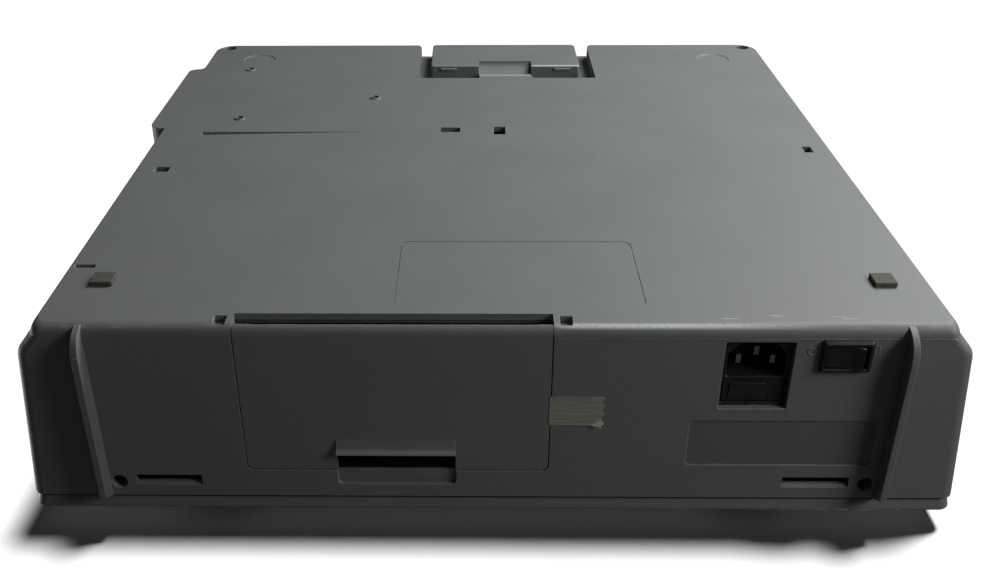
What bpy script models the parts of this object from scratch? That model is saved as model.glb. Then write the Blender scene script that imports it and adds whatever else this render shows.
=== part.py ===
"""Portable flatbed scanner, standing on its feet: metres, +Z up, front at -Y, rear panel at +Y."""

from math import acos, cos, degrees, pi, radians, sin

import bmesh
import bpy
from mathutils import Matrix, Vector

# Clearances
GAP = 0.0003
SEAM_GAP = 0.0006
RUN_GAP = 0.0004

# Housing
BASE_W = 0.3760
LEDGE_W = 0.3930
SEAM_W = 0.4060
BODY_D = 0.3800
SHELL_H = 0.0880
LEDGE_H = 0.0126
LEDGE_ROUND = 0.0040
WALL = 0.0030
EDGE_R = 0.0050
SIDE_R = 0.0020
FRONT_CORNER_R = 0.0120
REAR_CORNER_R = 0.0050
COVER_H = 0.0064
COVER_SKIN = 0.0028
COVER_EDGE_R = 0.0040

# Ribs on the rear panel
RIB_SIDE = 0.0197
RIB_T = 0.0028
RIB_OUT = 0.0080
RIB_START = 0.0040
RIB_RISE = 0.0120

# Rear feet, in from the rear panel
FOOT_H = 0.0023
FOOT_SIDE = 0.0205
FOOT_W = 0.0096
FOOT_L = 0.0092
FOOT_IN = 0.0323

# Bulge over the carriage drive
BULGE_OUT = 0.0090
BULGE_FRONT = 0.0560
BULGE_L = 0.1020
BULGE_H = 0.0170
BULGE_R = 0.0070

# Round seats and corner screws near the front edge
SEAT_SIDE = 0.0347
SEAT_FRONT = 0.0357
SEAT_R = 0.0120
SEAT_DEPTH = 0.0010
CORNER_SIDE = 0.0096
CORNER_FRONT = 0.0100
CORNER_HOLE_R = 0.0042
CORNER_BOSS_R = 0.0068
CORNER_BOSS_H = 0.0780
CORNER_SEAT = 0.0090
CORNER_SCREW_L = 0.0150

# Case screws
SCREW_R = 0.0015
SCREW_HEAD_R = 0.0028
SCREW_HEAD_H = 0.0020
SCREW_CLEAR = 0.0003
REAR_SCREW_SIDE = 0.0251
REAR_SCREW_H = 0.0802
REAR_SCREW_HOLE_R = 0.0034
REAR_BOSS_R = 0.0052
REAR_BOSS_L = 0.0100
REAR_SEAT = 0.0070
REAR_SCREW_L = 0.0090

# Latch slots beside the rear screws
SLOT_SIDE = 0.0471
SLOT_W = 0.0290
SLOT_H0 = 0.0765
SLOT_HIGH = 0.0060
TONGUE_T = 0.0020

# Rear door and its hinge
DOOR_X = -0.0405
DOOR_W = 0.1300
DOOR_H = 0.0730
DOOR_T = 0.0030
DOOR_CORNER_R = 0.0030
HINGE_SLOT = 0.0104
DOOR_WRAP = 0.0027
DOOR_PIN_R = 0.0015
DOOR_PIN_L = 0.0160
KNUCKLE_L = 0.0060
KNUCKLE_R = 0.0034
HINGE_BOSS_W = 0.0110
PEEP_W = 0.0050
PEEP_DEPTH = 0.0026

# Door pull and the finger recess above it
PULL_X = -0.0412
PULL_W = 0.0520
PULL_H0 = 0.0570
PULL_H1 = 0.0660
PULL_OUT = 0.0035
FINGER_H = 0.0080
FINGER_DEPTH = 0.0050

# Compartment behind the door
BAY_D = 0.0420
BAY_WALL = 0.0015
PORT_W = 0.0460
PORT_H = 0.0120
PORT_L = 0.0140
PORT_PITCH = 0.0580
PORT_H0 = 0.0300
BOARD_T = 0.0016
BOARD_MARGIN = 0.0060

# Mains inlet with fuse drawer
INLET_X = 0.1085
INLET_W = 0.0282
INLET_H0 = 0.0072
INLET_HIGH = 0.0327
INLET_SET_BACK = 0.0025
INLET_D = 0.0240
SOCKET_W = 0.0240
SOCKET_HIGH = 0.0160
SOCKET_H0 = 0.0092
SOCKET_D = 0.0170
SOCKET_CHAMFER = 0.0050
BLADE_PITCH = 0.0070
BLADE_OFFSET = 0.0040
BLADE_W = 0.0020
BLADE_HIGH = 0.0040
BLADE_L = 0.0140
FUSE_FACE_W = 0.0252
FUSE_FACE_HIGH = 0.0108
FUSE_H0 = 0.0270
FUSE_FACE_T = 0.0020
FUSE_TRAY_W = 0.0090
FUSE_TRAY_HIGH = 0.0080
FUSE_TRAY_D = 0.0210
FUSE_R = 0.0025
FUSE_L = 0.0180

# Rocker switch
SWITCH_X = 0.1433
SWITCH_H = 0.0132
SWITCH_W = 0.0210
SWITCH_HIGH = 0.0150
SWITCH_FLANGE = 0.0019
SWITCH_LIP = 0.0010
SWITCH_D = 0.0170
ROCKER_W = 0.0150
ROCKER_HIGH = 0.0104
ROCKER_TILT = 10.0
ROCKER_WELL = 0.0090
ROCKER_ROOM = 0.0012

# Bare panel recess
PANEL_X = 0.1232
PANEL_W = 0.0795
PANEL_H0 = 0.0462
PANEL_HIGH = 0.0234
PANEL_DEPTH = 0.0006

# Carry handle in its recess at the front edge
HANDLE_X = 0.0130
HANDLE_W = 0.0990
HANDLE_D = 0.0470
HANDLE_SET_BACK = 0.0020
HANDLE_T = 0.0088
HANDLE_SKIN = 0.0002
HANDLE_NOTCH_W = 0.0350
HANDLE_NOTCH_D = 0.0098
SCOOP_DEPTH = 0.0060
HANDLE_TRAVEL = 0.0340
RECESS_SIDE = 0.0090
RECESS_BACK = 0.0255
TUB_WALL = 0.0034
POCKET_W = 0.0300
POCKET_DEEP = 0.0105
TONGUE_D = 0.0050
ARM_W = 0.0100
ARM_T = 0.0050
ARM_L = 0.0720
ARM_LIFT = 0.0020
GUIDE_WALL = 0.0030
GUIDE_L = 0.0380

# Moulding windows in the underside: which edge x counts from (0 is the middle), x, distance in from the
# rear, width, length
WINDOWS = (
    (0, -0.0213, 0.2150, 0.0112, 0.0071),
    (0, 0.0069, 0.2137, 0.0065, 0.0117),
    (-1, 0.0149, 0.1583, 0.0076, 0.0064),
    (1, -0.0133, 0.1852, 0.0045, 0.0082),
    (-1, 0.0078, 0.0508, 0.0092, 0.0028),
)
GROOVE_IN = 0.2100
GROOVE_X0 = -0.1630
GROOVE_X1 = -0.0500
GROOVE_W = 0.0050
GROOVE_DEPTH = 0.0012

# Platen and document lid
GLASS_W = 0.3040
GLASS_D = 0.2220
GLASS_T = 0.0030
GLASS_FRONT = 0.0530
GLASS_LEDGE = 0.0040
LID_W = 0.3640
LID_H = 0.0116
LID_FRONT = 0.0100
LID_REAR = 0.0290
LID_WALL = 0.0025
LID_CORNER_R = 0.0120
PAD_T = 0.0074
PAD_MARGIN = 0.0060
LID_AXIS_IN = 0.0210
LID_AXIS_H = 0.0062
LID_HINGE_X = 0.1200
LID_EAR_W = 0.0160
LID_EAR_R = 0.0050
LID_PIN_R = 0.0020
LID_CHEEK = 0.0056

# Scan carriage and its way
CARRIAGE_W = 0.0600
CARRIAGE_D = 0.2360
CARRIAGE_H0 = 0.0400
CARRIAGE_HIGH = 0.0420
CARRIAGE_WALL = 0.0025
CARRIAGE_CLEAR = 0.0020
SLIT_W = 0.0300
ROD_R = 0.0040
ROD_CLEAR = 0.0030
ROD_H = 0.0330
SLEEVE_W = 0.0160
POST_T = 0.0060
POST_W = 0.0160
POST_CAP = 0.0022
RAIL_IN = 0.0180
RAIL_W = 0.0120
RAIL_T = 0.0016
RAIL_FOOT = 0.0120
LAMP_R = 0.0040
MIRROR_W = 0.0120
MIRROR_T = 0.0020
LENS_R = 0.0090
LENS_L = 0.0240
SENSOR_W = 0.0300
SENSOR_D = 0.0700

# Carriage drive
PULLEY_R = 0.0080
PULLEY_H0 = 0.0290
PULLEY_HIGH = 0.0080
FLANGE_T = 0.0008
FLANGE_OVER = 0.0020
BELT_T = 0.0012
BELT_HIGH = 0.0056
MOTOR_CLEAR = 0.0065
MOTOR_W = 0.0420
MOTOR_H = 0.0220
SHAFT_R = 0.0025
IDLER_CLEAR = 0.0010
IDLER_BASE = 0.0240
CHASSIS_T = 0.0016
CHASSIS_MARGIN = 0.0060
CHASSIS_SCREWS = ((0.0328, 0.0577), (0.0424, 0.1474), (0.1196, 0.1121))
CHASSIS_BOSS_R = 0.0036
CHASSIS_TIP_R = 0.0028
CHASSIS_RISE = 0.0009
CHASSIS_SINK_R = 0.0022
CHASSIS_SINK = 0.0013
CHASSIS_HEAD_R = 0.0019
CHASSIS_HEAD_H = 0.0010
CHASSIS_SCREW_L = 0.0075
CLAMP_W = 0.0160
HOME_X = -0.1100
HOME_W = 0.0120
HOME_D = 0.0060
HOME_H = 0.0280

# Power supply
PSU_W = 0.1100
PSU_H = 0.0460
PSU_CLEAR = 0.0130
PSU_IN = 0.0360
PSU_AHEAD = 0.0040

FRONT_Y = -(BODY_D + RIB_OUT) / 2
REAR_Y = FRONT_Y + BODY_D
UNDER_Z = FOOT_H
SEAM_Z = UNDER_Z + SHELL_H
COVER_Z0 = SEAM_Z + SEAM_GAP
COVER_Z1 = COVER_Z0 + COVER_H
FLOOR_Z = UNDER_Z + WALL
SIDES = ((-1, "left"), (1, "right"))

for old in list(bpy.data.objects):
    bpy.data.objects.remove(old)

PARTS = bpy.data.collections.new("flatbed_scanner")
CUTTERS = bpy.data.collections.new("cutters")
bpy.context.scene.collection.children.link(PARTS)
bpy.context.scene.collection.children.link(CUTTERS)


def from_rear(distance):
    """Y of a point this far in front of the rear panel."""
    return REAR_Y - distance


def from_front(distance):
    """Y of a point this far behind the front edge."""
    return FRONT_Y + distance


def above(height):
    """Z of a point this far above the underside."""
    return UNDER_Z + height


def material(name, colour, roughness, metallic=0.0, alpha=1.0):
    made = bpy.data.materials.new(name)
    made.use_nodes = True
    shader = made.node_tree.nodes["Principled BSDF"]
    shader.inputs["Base Color"].default_value = (*colour, 1.0)
    shader.inputs["Roughness"].default_value = roughness
    shader.inputs["Metallic"].default_value = metallic
    shader.inputs["Alpha"].default_value = alpha
    return made


def as_object(name, shape, collection, origin=(0, 0, 0)):
    bmesh.ops.recalc_face_normals(shape, faces=shape.faces)
    bmesh.ops.translate(shape, verts=shape.verts, vec=-Vector(origin))
    mesh = bpy.data.meshes.new(name)
    shape.to_mesh(mesh)
    shape.free()
    obj = bpy.data.objects.new(name, mesh)
    obj.location = origin
    collection.objects.link(obj)
    return obj


def node(name, shape, colour, roughness, metallic=0.0, alpha=1.0, origin=(0, 0, 0)):
    obj = as_object(name, shape, PARTS, origin)
    obj.data.materials.append(material(name, colour, roughness, metallic, alpha))
    obj.data.shade_smooth()
    obj.data.set_sharp_from_angle(angle=radians(30))
    return obj


def combine(obj, operation, shape, label):
    """Joins the shape to the object, cuts it away or keeps what both share."""
    tool = as_object(f"{obj.name}_{label}", shape, CUTTERS)
    tool.hide_render = True
    tool.display_type = "WIRE"
    modifier = obj.modifiers.new(label, "BOOLEAN")
    modifier.operation = operation
    modifier.object = tool
    modifier.solver = "EXACT"
    modifier.use_self = True


def cut(obj, shape, label):
    combine(obj, "DIFFERENCE", shape, label)


def join(obj, shape, label):
    combine(obj, "UNION", shape, label)


def add_box(shape, x, y, z):
    """A box from three (low, high) pairs."""
    low = Vector((x[0], y[0], z[0]))
    high = Vector((x[1], y[1], z[1]))
    place = Matrix.Translation((low + high) / 2) @ Matrix.Diagonal((*(high - low), 1.0))
    bmesh.ops.create_cube(shape, size=1.0, matrix=place)


def add_rod(shape, start, axis, length, radius, segments=20, end_radius=None):
    """A cylinder or cone from its start point along an axis letter."""
    turn = {
        "x": Matrix.Rotation(pi / 2, 4, "Y"),
        "y": Matrix.Rotation(-pi / 2, 4, "X"),
        "z": Matrix.Identity(4),
    }
    along = {"x": Vector((1, 0, 0)), "y": Vector((0, 1, 0)), "z": Vector((0, 0, 1))}[axis]
    middle = Vector(start) + along * length / 2
    bmesh.ops.create_cone(
        shape,
        cap_ends=True,
        segments=segments,
        radius1=radius,
        radius2=radius if end_radius is None else end_radius,
        depth=length,
        matrix=Matrix.Translation(middle) @ turn[axis],
    )


def arc(centre, radius, start, end, steps):
    """Points of an arc, from the start angle to the end angle in degrees."""
    angles = [radians(start + (end - start) * i / steps) for i in range(steps + 1)]
    return [(centre[0] + radius * cos(a), centre[1] + radius * sin(a)) for a in angles]


def rounded_rectangle(x, y, radii, steps=4):
    """Outline with a radius for each corner: low-low, high-low, high-high, low-high."""
    corners = ((x[0], y[0], 1, 1), (x[1], y[0], -1, 1), (x[1], y[1], -1, -1), (x[0], y[1], 1, -1))
    outline = []
    for i, ((cx, cy, sx, sy), r) in enumerate(zip(corners, radii)):
        if r == 0:
            outline.append((cx, cy))
            continue
        outline += arc((cx + sx * r, cy + sy * r), r, 180 + 90 * i, 270 + 90 * i, steps)
    return outline


def add_prism(shape, outline, plane, low, high):
    """Extrudes an outline drawn in the xy, xz or yz plane, from low to high on the third axis."""
    place = {
        "xy": lambda a, b: (a, b, low),
        "xz": lambda a, b: (a, low, b),
        "yz": lambda a, b: (low, a, b),
    }[plane]
    step = {"xy": (0, 0, 1), "xz": (0, 1, 0), "yz": (1, 0, 0)}[plane]
    face = shape.faces.new([shape.verts.new(place(*point)) for point in outline])
    grown = bmesh.ops.extrude_face_region(shape, geom=[face])
    moved = [item for item in grown["geom"] if isinstance(item, bmesh.types.BMVert)]
    bmesh.ops.translate(shape, verts=moved, vec=Vector(step) * (high - low))


def add_loft(shape, rings):
    """Joins rings of equally many points and closes the first and the last."""
    loops = [[shape.verts.new(point) for point in ring] for ring in rings]
    count = len(loops[0])
    for lower, upper in zip(loops, loops[1:]):
        for i in range(count):
            j = (i + 1) % count
            shape.faces.new((lower[i], lower[j], upper[j], upper[i]))
    shape.faces.new(loops[0])
    shape.faces.new(loops[-1])


def housing_ring(z, half_width, inset):
    """Outline of the housing at a height, with its ends drawn in by the inset."""
    outline = rounded_rectangle(
        (-half_width, half_width),
        (FRONT_Y + inset, REAR_Y - inset),
        (FRONT_CORNER_R, FRONT_CORNER_R, REAR_CORNER_R, REAR_CORNER_R),
    )
    return [(x, y, z) for x, y in outline]


def inner_half():
    """Half of the floor's clear width inside the housing."""
    return min(BASE_W / 2 - SIDE_R, LEDGE_W / 2, SEAM_W / 2) - WALL


def in_from_side(side, distance):
    """X of a point this far in from the underside's left (-1) or right (1) edge."""
    return side * (BASE_W / 2 - distance)


def corner_x(side):
    """X of a front corner screw, inside both the underside's edge and the seam's."""
    return side * (min(BASE_W, SEAM_W) / 2 - CORNER_SIDE)


def bulge_outer():
    """Half width that the bulge and the ledge above it both leave clear."""
    return min(BASE_W / 2 + BULGE_OUT, LEDGE_W / 2) - WALL


def motor_x():
    return -bulge_outer() + MOTOR_CLEAR + MOTOR_W / 2


def idler_x():
    return inner_half() - IDLER_CLEAR - IDLER_BASE / 2


def belt_y():
    return from_front(BULGE_FRONT + BULGE_L / 2)


def rod_y():
    return belt_y() - MOTOR_W / 2 - ROD_CLEAR - POST_W / 2


def glass_y():
    return from_front(GLASS_FRONT + GLASS_D / 2)


def rail_y():
    return glass_y() + CARRIAGE_D / 2 - RAIL_IN


def chassis_points():
    """The chassis screws' places, from the underside's left edge and the front edge."""
    return [(-BASE_W / 2 + x, from_front(y)) for x, y in CHASSIS_SCREWS]


def door_axis():
    return from_rear(EDGE_R), above(EDGE_R)


def door_span(clear=0.0):
    return DOOR_X - DOOR_W / 2 - clear, DOOR_X + DOOR_W / 2 + clear


def pull_span(clear=0.0):
    return PULL_X - PULL_W / 2 - clear, PULL_X + PULL_W / 2 + clear


def handle_span(clear=0.0):
    return HANDLE_X - HANDLE_W / 2 - clear, HANDLE_X + HANDLE_W / 2 + clear


def recess_back():
    """Y of the handle recess's back edge."""
    return FRONT_Y + HANDLE_SET_BACK + HANDLE_D + RECESS_BACK


def recess_top():
    return above(HANDLE_SKIN + HANDLE_T + GAP)


def pocket_top():
    return recess_top() + POCKET_DEEP


def pockets():
    """X spans of the two deep pockets behind the handle."""
    reach = HANDLE_NOTCH_W / 2
    return (
        (HANDLE_X - reach - POCKET_W, HANDLE_X - reach),
        (HANDLE_X + reach, HANDLE_X + reach + POCKET_W),
    )


def middle(span):
    return (span[0] + span[1]) / 2


def around(centre, size):
    return centre - size / 2, centre + size / 2


def base_shell():
    rings = []
    for turn in (0, 30, 60, 90):
        lift = 1 - cos(radians(turn))
        draw = 1 - sin(radians(turn))
        half = BASE_W / 2 - SIDE_R * draw + SIDE_R / 2 * lift
        rings.append(housing_ring(above(EDGE_R * lift), half, EDGE_R * draw))
    rings.append(housing_ring(above(LEDGE_H), LEDGE_W / 2 - SIDE_R / 2, 0))
    rings.append(housing_ring(above(LEDGE_H + LEDGE_ROUND), LEDGE_W / 2, 0))
    rings.append(housing_ring(SEAM_Z, SEAM_W / 2, 0))
    rings.append(housing_ring(SEAM_Z, SEAM_W / 2 - WALL, WALL))
    rings.append(housing_ring(above(LEDGE_H + LEDGE_ROUND), LEDGE_W / 2 - WALL, WALL))
    rings.append(housing_ring(above(EDGE_R), BASE_W / 2 - WALL, WALL))
    rings.append(housing_ring(FLOOR_Z, BASE_W / 2 - WALL - SIDE_R, WALL + SIDE_R))
    shape = bmesh.new()
    add_loft(shape, rings)
    shell = node("base_shell", shape, (0.13, 0.135, 0.137), 0.6)
    join(shell, shell_additions(), "bosses")
    join(shell, bulge_block(), "bulge")
    cut(shell, bulge_room(), "bulge_room")
    cut(shell, shell_openings(), "openings")
    cut(shell, shell_details(), "details")
    cut(shell, shell_bores(), "bores")
    cut(shell, recess_cuts(), "handle_recess")
    cut(shell, pocket_cuts(), "handle_pockets")
    join(shell, finger_ramp(), "finger_ramp")


def rib_outline():
    base = REAR_Y - WALL / 2
    tip = REAR_Y + RIB_OUT
    curve = []
    for i in range(7):
        turn = radians(15 * i)
        reach = from_rear(RIB_START) + (RIB_OUT + RIB_START) * sin(turn)
        curve.append((reach, above(GAP) + RIB_RISE * (1 - cos(turn))))
    return [(base, above(EDGE_R))] + curve + [(tip, SEAM_Z), (base, SEAM_Z)]


def shell_additions():
    """Ribs, screw bosses, hinge bosses, finger-recess wall and handle tub."""
    shape = bmesh.new()
    for side in (-1, 1):
        span = around(in_from_side(side, RIB_SIDE), RIB_T)
        add_prism(shape, rib_outline(), "yz", *span)
        add_rod(
            shape,
            (corner_x(side), from_front(CORNER_FRONT), above(WALL / 2)),
            "z",
            CORNER_BOSS_H - WALL / 2,
            CORNER_BOSS_R,
        )
        add_rod(
            shape,
            (in_from_side(side, REAR_SCREW_SIDE), from_rear(WALL / 2 + REAR_BOSS_L), above(REAR_SCREW_H)),
            "y",
            REAR_BOSS_L,
            REAR_BOSS_R,
        )
    for edge, way in zip(door_span(), (-1, 1)):
        span = sorted((edge + way * RUN_GAP, edge + way * HINGE_BOSS_W))
        deep = (from_rear(HINGE_SLOT), from_rear(WALL / 2))
        add_box(shape, span, deep, (above(WALL / 2), above(2 * EDGE_R)))
    top = DOOR_H + FINGER_H
    add_box(
        shape,
        pull_span(WALL),
        (from_rear(FINGER_DEPTH + WALL), from_rear(WALL / 2)),
        (above(DOOR_H + GAP), above(top + WALL)),
    )
    for x, y in chassis_points():
        tip = (x, y, UNDER_Z - CHASSIS_RISE)
        reach = CHASSIS_RISE + WALL / 2
        add_rod(shape, tip, "z", reach, CHASSIS_TIP_R, 20, CHASSIS_BOSS_R)
    tub = handle_span(RECESS_SIDE + TUB_WALL)
    deep = (FRONT_Y + WALL / 2, recess_back() + TUB_WALL)
    add_box(shape, tub, deep, (above(WALL / 2), pocket_top() + TUB_WALL))
    return shape


def bulge_block():
    """The bulge, with its lower edges rounded."""
    shape = bmesh.new()
    outer = -BASE_W / 2 - BULGE_OUT
    inner = -BASE_W / 2 + WALL + SIDE_R
    span = (from_front(BULGE_FRONT), from_front(BULGE_FRONT + BULGE_L))
    rings = []
    for height, draw in ((0.0, SIDE_R), (SIDE_R / 3, SIDE_R / 3), (SIDE_R, 0.0), (BULGE_H, 0.0)):
        outline = rounded_rectangle(
            (outer + draw, inner), (span[0] + draw, span[1] - draw), (BULGE_R, 0, 0, BULGE_R)
        )
        rings.append([(x, y, above(height)) for x, y in outline])
    add_loft(shape, rings)
    return shape


def bulge_room():
    """The room inside the bulge, open to the housing."""
    shape = bmesh.new()
    outer = -bulge_outer()
    inner = -BASE_W / 2 + 2 * WALL + SIDE_R
    span = (from_front(BULGE_FRONT + WALL), from_front(BULGE_FRONT + BULGE_L - WALL))
    corner = BULGE_R - WALL
    outline = rounded_rectangle((outer, inner), span, (corner, 0, 0, corner))
    add_prism(shape, outline, "xy", FLOOR_Z, above(BULGE_H + WALL))
    return shape


def shell_openings():
    """Door opening, inlet and switch cut-outs, latch slots and moulding windows."""
    shape = bmesh.new()
    out = REAR_Y + WALL
    door = rounded_rectangle(
        door_span(RUN_GAP),
        (UNDER_Z - WALL, above(DOOR_H + GAP)),
        (0, 0, DOOR_CORNER_R + GAP, DOOR_CORNER_R + GAP),
    )
    add_prism(shape, door, "xz", from_rear(HINGE_SLOT), out)
    through = (from_rear(2 * WALL), out)
    inlet_high = (above(INLET_H0), above(INLET_H0 + INLET_HIGH))
    add_box(shape, around(INLET_X, INLET_W), through, inlet_high)
    body_w = SWITCH_W - 2 * SWITCH_LIP
    body_high = SWITCH_HIGH - 2 * SWITCH_LIP
    add_box(
        shape,
        around(SWITCH_X, body_w + 2 * GAP),
        through,
        around(above(SWITCH_H), body_high + 2 * GAP),
    )
    slot = [
        (from_rear(2 * WALL), above(SLOT_H0)),
        (out, above(SLOT_H0)),
        (out, above(SLOT_H0 + SLOT_HIGH + WALL)),
        (from_rear(WALL), above(SLOT_H0 + SLOT_HIGH - WALL)),
        (from_rear(2 * WALL), above(SLOT_H0 + SLOT_HIGH - WALL)),
    ]
    for side in (-1, 1):
        add_prism(shape, slot, "yz", *around(in_from_side(side, SLOT_SIDE), SLOT_W))
    for edge, x, into, width, length in WINDOWS:
        add_box(
            shape,
            around(edge * BASE_W / 2 + x, width),
            around(from_rear(into), length),
            (UNDER_Z - WALL, FLOOR_Z + WALL / 2),
        )
    return shape


def shell_details():
    """Shallow recesses: bare panel, round seats, groove, hinge peep holes and screw sinks."""
    shape = bmesh.new()
    out = REAR_Y + WALL
    panel = rounded_rectangle(
        around(PANEL_X, PANEL_W), (above(PANEL_H0), above(PANEL_H0 + PANEL_HIGH)), (EDGE_R / 2,) * 4
    )
    add_prism(shape, panel, "xz", from_rear(PANEL_DEPTH), out)
    low = UNDER_Z - WALL
    for side in (-1, 1):
        seat = (in_from_side(side, SEAT_SIDE), from_front(SEAT_FRONT), low)
        add_rod(shape, seat, "z", WALL + SEAT_DEPTH, SEAT_R, 32)
    groove = [
        (GROOVE_X0, low),
        (GROOVE_X1, low),
        (GROOVE_X1, UNDER_Z),
        (GROOVE_X0, above(GROOVE_DEPTH)),
    ]
    add_prism(shape, groove, "xz", *around(from_rear(GROOVE_IN), GROOVE_W))
    for edge, way in zip(door_span(), (-1, 1)):
        near = edge + way * (HINGE_BOSS_W - PEEP_W) / 2
        span = sorted((near, near + way * PEEP_W))
        add_box(shape, span, around(from_rear(EDGE_R), PEEP_W), (low, above(PEEP_DEPTH)))
    for x, y in chassis_points():
        add_rod(shape, (x, y, low), "z", WALL + CHASSIS_SINK, CHASSIS_SINK_R)
    finger = rounded_rectangle(
        pull_span(), (above(DOOR_H - GAP), above(DOOR_H + FINGER_H)), (0, 0, DOOR_CORNER_R, DOOR_CORNER_R)
    )
    add_prism(shape, finger, "xz", from_rear(FINGER_DEPTH), out)
    return shape


def shell_bores():
    """Screw holes, hinge-pin holes and the holes for the handle's arms."""
    shape = bmesh.new()
    clear = SCREW_R + SCREW_CLEAR
    for side in (-1, 1):
        x = corner_x(side)
        y = from_front(CORNER_FRONT)
        head = CORNER_BOSS_H - CORNER_SEAT
        add_rod(shape, (x, y, UNDER_Z - WALL), "z", WALL + head, CORNER_HOLE_R)
        add_rod(shape, (x, y, above(head - WALL)), "z", CORNER_SEAT + 2 * WALL, clear, 12)
        x = in_from_side(side, REAR_SCREW_SIDE)
        z = above(REAR_SCREW_H)
        add_rod(shape, (x, from_rear(REAR_SEAT), z), "y", REAR_SEAT + WALL, REAR_SCREW_HOLE_R)
        add_rod(shape, (x, from_rear(REAR_BOSS_L + 2 * WALL), z), "y", REAR_BOSS_L, clear, 12)
    for x, y in chassis_points():
        add_rod(shape, (x, y, UNDER_Z - WALL), "z", 4 * WALL, clear, 12)
    y, z = door_axis()
    for edge, way in zip(door_span(), (-1, 1)):
        start = min(edge - way * WALL, edge + way * (DOOR_PIN_L - KNUCKLE_L + GAP))
        length = DOOR_PIN_L - KNUCKLE_L + GAP + WALL
        add_rod(shape, (start, y, z), "x", length, DOOR_PIN_R + GAP, 16)
    bottom, top = arm_heights()
    for span in pockets():
        add_box(
            shape,
            around(middle(span), ARM_W + 2 * RUN_GAP),
            (recess_back() - TUB_WALL, recess_back() + 2 * TUB_WALL),
            (bottom - RUN_GAP, top + RUN_GAP),
        )
    return shape


def recess_cuts():
    shape = bmesh.new()
    span = handle_span(RECESS_SIDE)
    add_box(shape, span, (FRONT_Y - WALL, recess_back()), (UNDER_Z - WALL, recess_top()))
    return shape


def pocket_cuts():
    shape = bmesh.new()
    reach = FRONT_Y + HANDLE_SET_BACK + HANDLE_D - TONGUE_D - HANDLE_TRAVEL - RUN_GAP
    for span in pockets():
        add_box(shape, span, (reach, recess_back() - GAP), (recess_top() - WALL, pocket_top()))
    return shape


def finger_ramp():
    """Ramp in the middle of the handle's recess, sinking from the underside towards the handle."""
    back = recess_back()
    front = FRONT_Y + HANDLE_SET_BACK + HANDLE_D + RUN_GAP
    curve = []
    for i in range(9):
        share = i / 8
        sunk = SCOOP_DEPTH * (1 - cos(pi * share)) / 2
        curve.append((back + (front - back) * share, UNDER_Z + sunk))
    outline = [(back + TUB_WALL / 2, recess_top() + WALL), (back + TUB_WALL / 2, UNDER_Z)]
    outline += curve + [(front, recess_top() + WALL)]
    shape = bmesh.new()
    add_prism(shape, outline, "yz", *around(HANDLE_X, HANDLE_NOTCH_W - 2 * RUN_GAP))
    return shape


def arm_heights():
    bottom = recess_top() + ARM_LIFT
    return bottom, bottom + ARM_T


def top_cover():
    half = SEAM_W / 2
    rings = [housing_ring(COVER_Z0, half - SEAM_GAP, SEAM_GAP)]
    for turn in (0, 30, 60, 90):
        lift = COVER_EDGE_R * sin(radians(turn))
        draw = SEAM_GAP + COVER_EDGE_R * (1 - cos(radians(turn)))
        rings.append(housing_ring(COVER_Z1 - COVER_EDGE_R + lift, half - draw, draw))
    shape = bmesh.new()
    add_loft(shape, rings)
    cover = node("top_cover", shape, (0.15, 0.155, 0.157), 0.6)
    room = bmesh.new()
    edge = WALL + COVER_EDGE_R
    add_box(
        room,
        (-half + edge, half - edge),
        (FRONT_Y + edge, REAR_Y - edge),
        (COVER_Z0 - WALL, COVER_Z1 - COVER_SKIN),
    )
    cut(cover, room, "room")
    posts = bmesh.new()
    top = COVER_Z1 - COVER_SKIN / 2
    for side in (-1, 1):
        foot = above(CORNER_BOSS_H + GAP)
        corner = (corner_x(side), from_front(CORNER_FRONT), foot)
        add_rod(posts, corner, "z", top - foot, CORNER_BOSS_R)
        behind = from_rear(REAR_BOSS_L + WALL / 2 + GAP)
        add_box(
            posts,
            around(in_from_side(side, REAR_SCREW_SIDE), 2 * REAR_BOSS_R),
            (behind - 2 * WALL, behind),
            (above(REAR_SCREW_H - REAR_BOSS_R), top),
        )
        add_box(
            posts,
            around(in_from_side(side, SLOT_SIDE), SLOT_W - 2 * WALL),
            (from_rear(WALL + TONGUE_T + RUN_GAP), from_rear(WALL + RUN_GAP)),
            (above(SLOT_H0 - WALL), top),
        )
    join(cover, posts, "posts")
    holes = bmesh.new()
    window = (GLASS_W - 2 * GLASS_LEDGE, GLASS_D - 2 * GLASS_LEDGE)
    add_box(holes, around(0, window[0]), around(glass_y(), window[1]), (COVER_Z0 - WALL, COVER_Z1 + WALL))
    clear = SCREW_R + SCREW_CLEAR
    for side in (-1, 1):
        start = (corner_x(side), from_front(CORNER_FRONT), above(CORNER_BOSS_H - WALL))
        add_rod(holes, start, "z", 3 * WALL, clear, 12)
        x = in_from_side(side, REAR_SCREW_SIDE)
        start = (x, from_rear(REAR_BOSS_L + 4 * WALL), above(REAR_SCREW_H))
        add_rod(holes, start, "y", 4 * WALL, clear, 12)
    cut(cover, holes, "holes")


def platen_glass():
    shape = bmesh.new()
    top = COVER_Z1 - COVER_SKIN - GAP
    add_box(shape, around(0, GLASS_W), around(glass_y(), GLASS_D), (top - GLASS_T, top))
    node("platen_glass", shape, (0.75, 0.82, 0.82), 0.05, alpha=0.35)


def lid_axis():
    return from_rear(LID_AXIS_IN), COVER_Z1 + LID_AXIS_H


def lid_span():
    return FRONT_Y + LID_FRONT, from_rear(LID_REAR)


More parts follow.
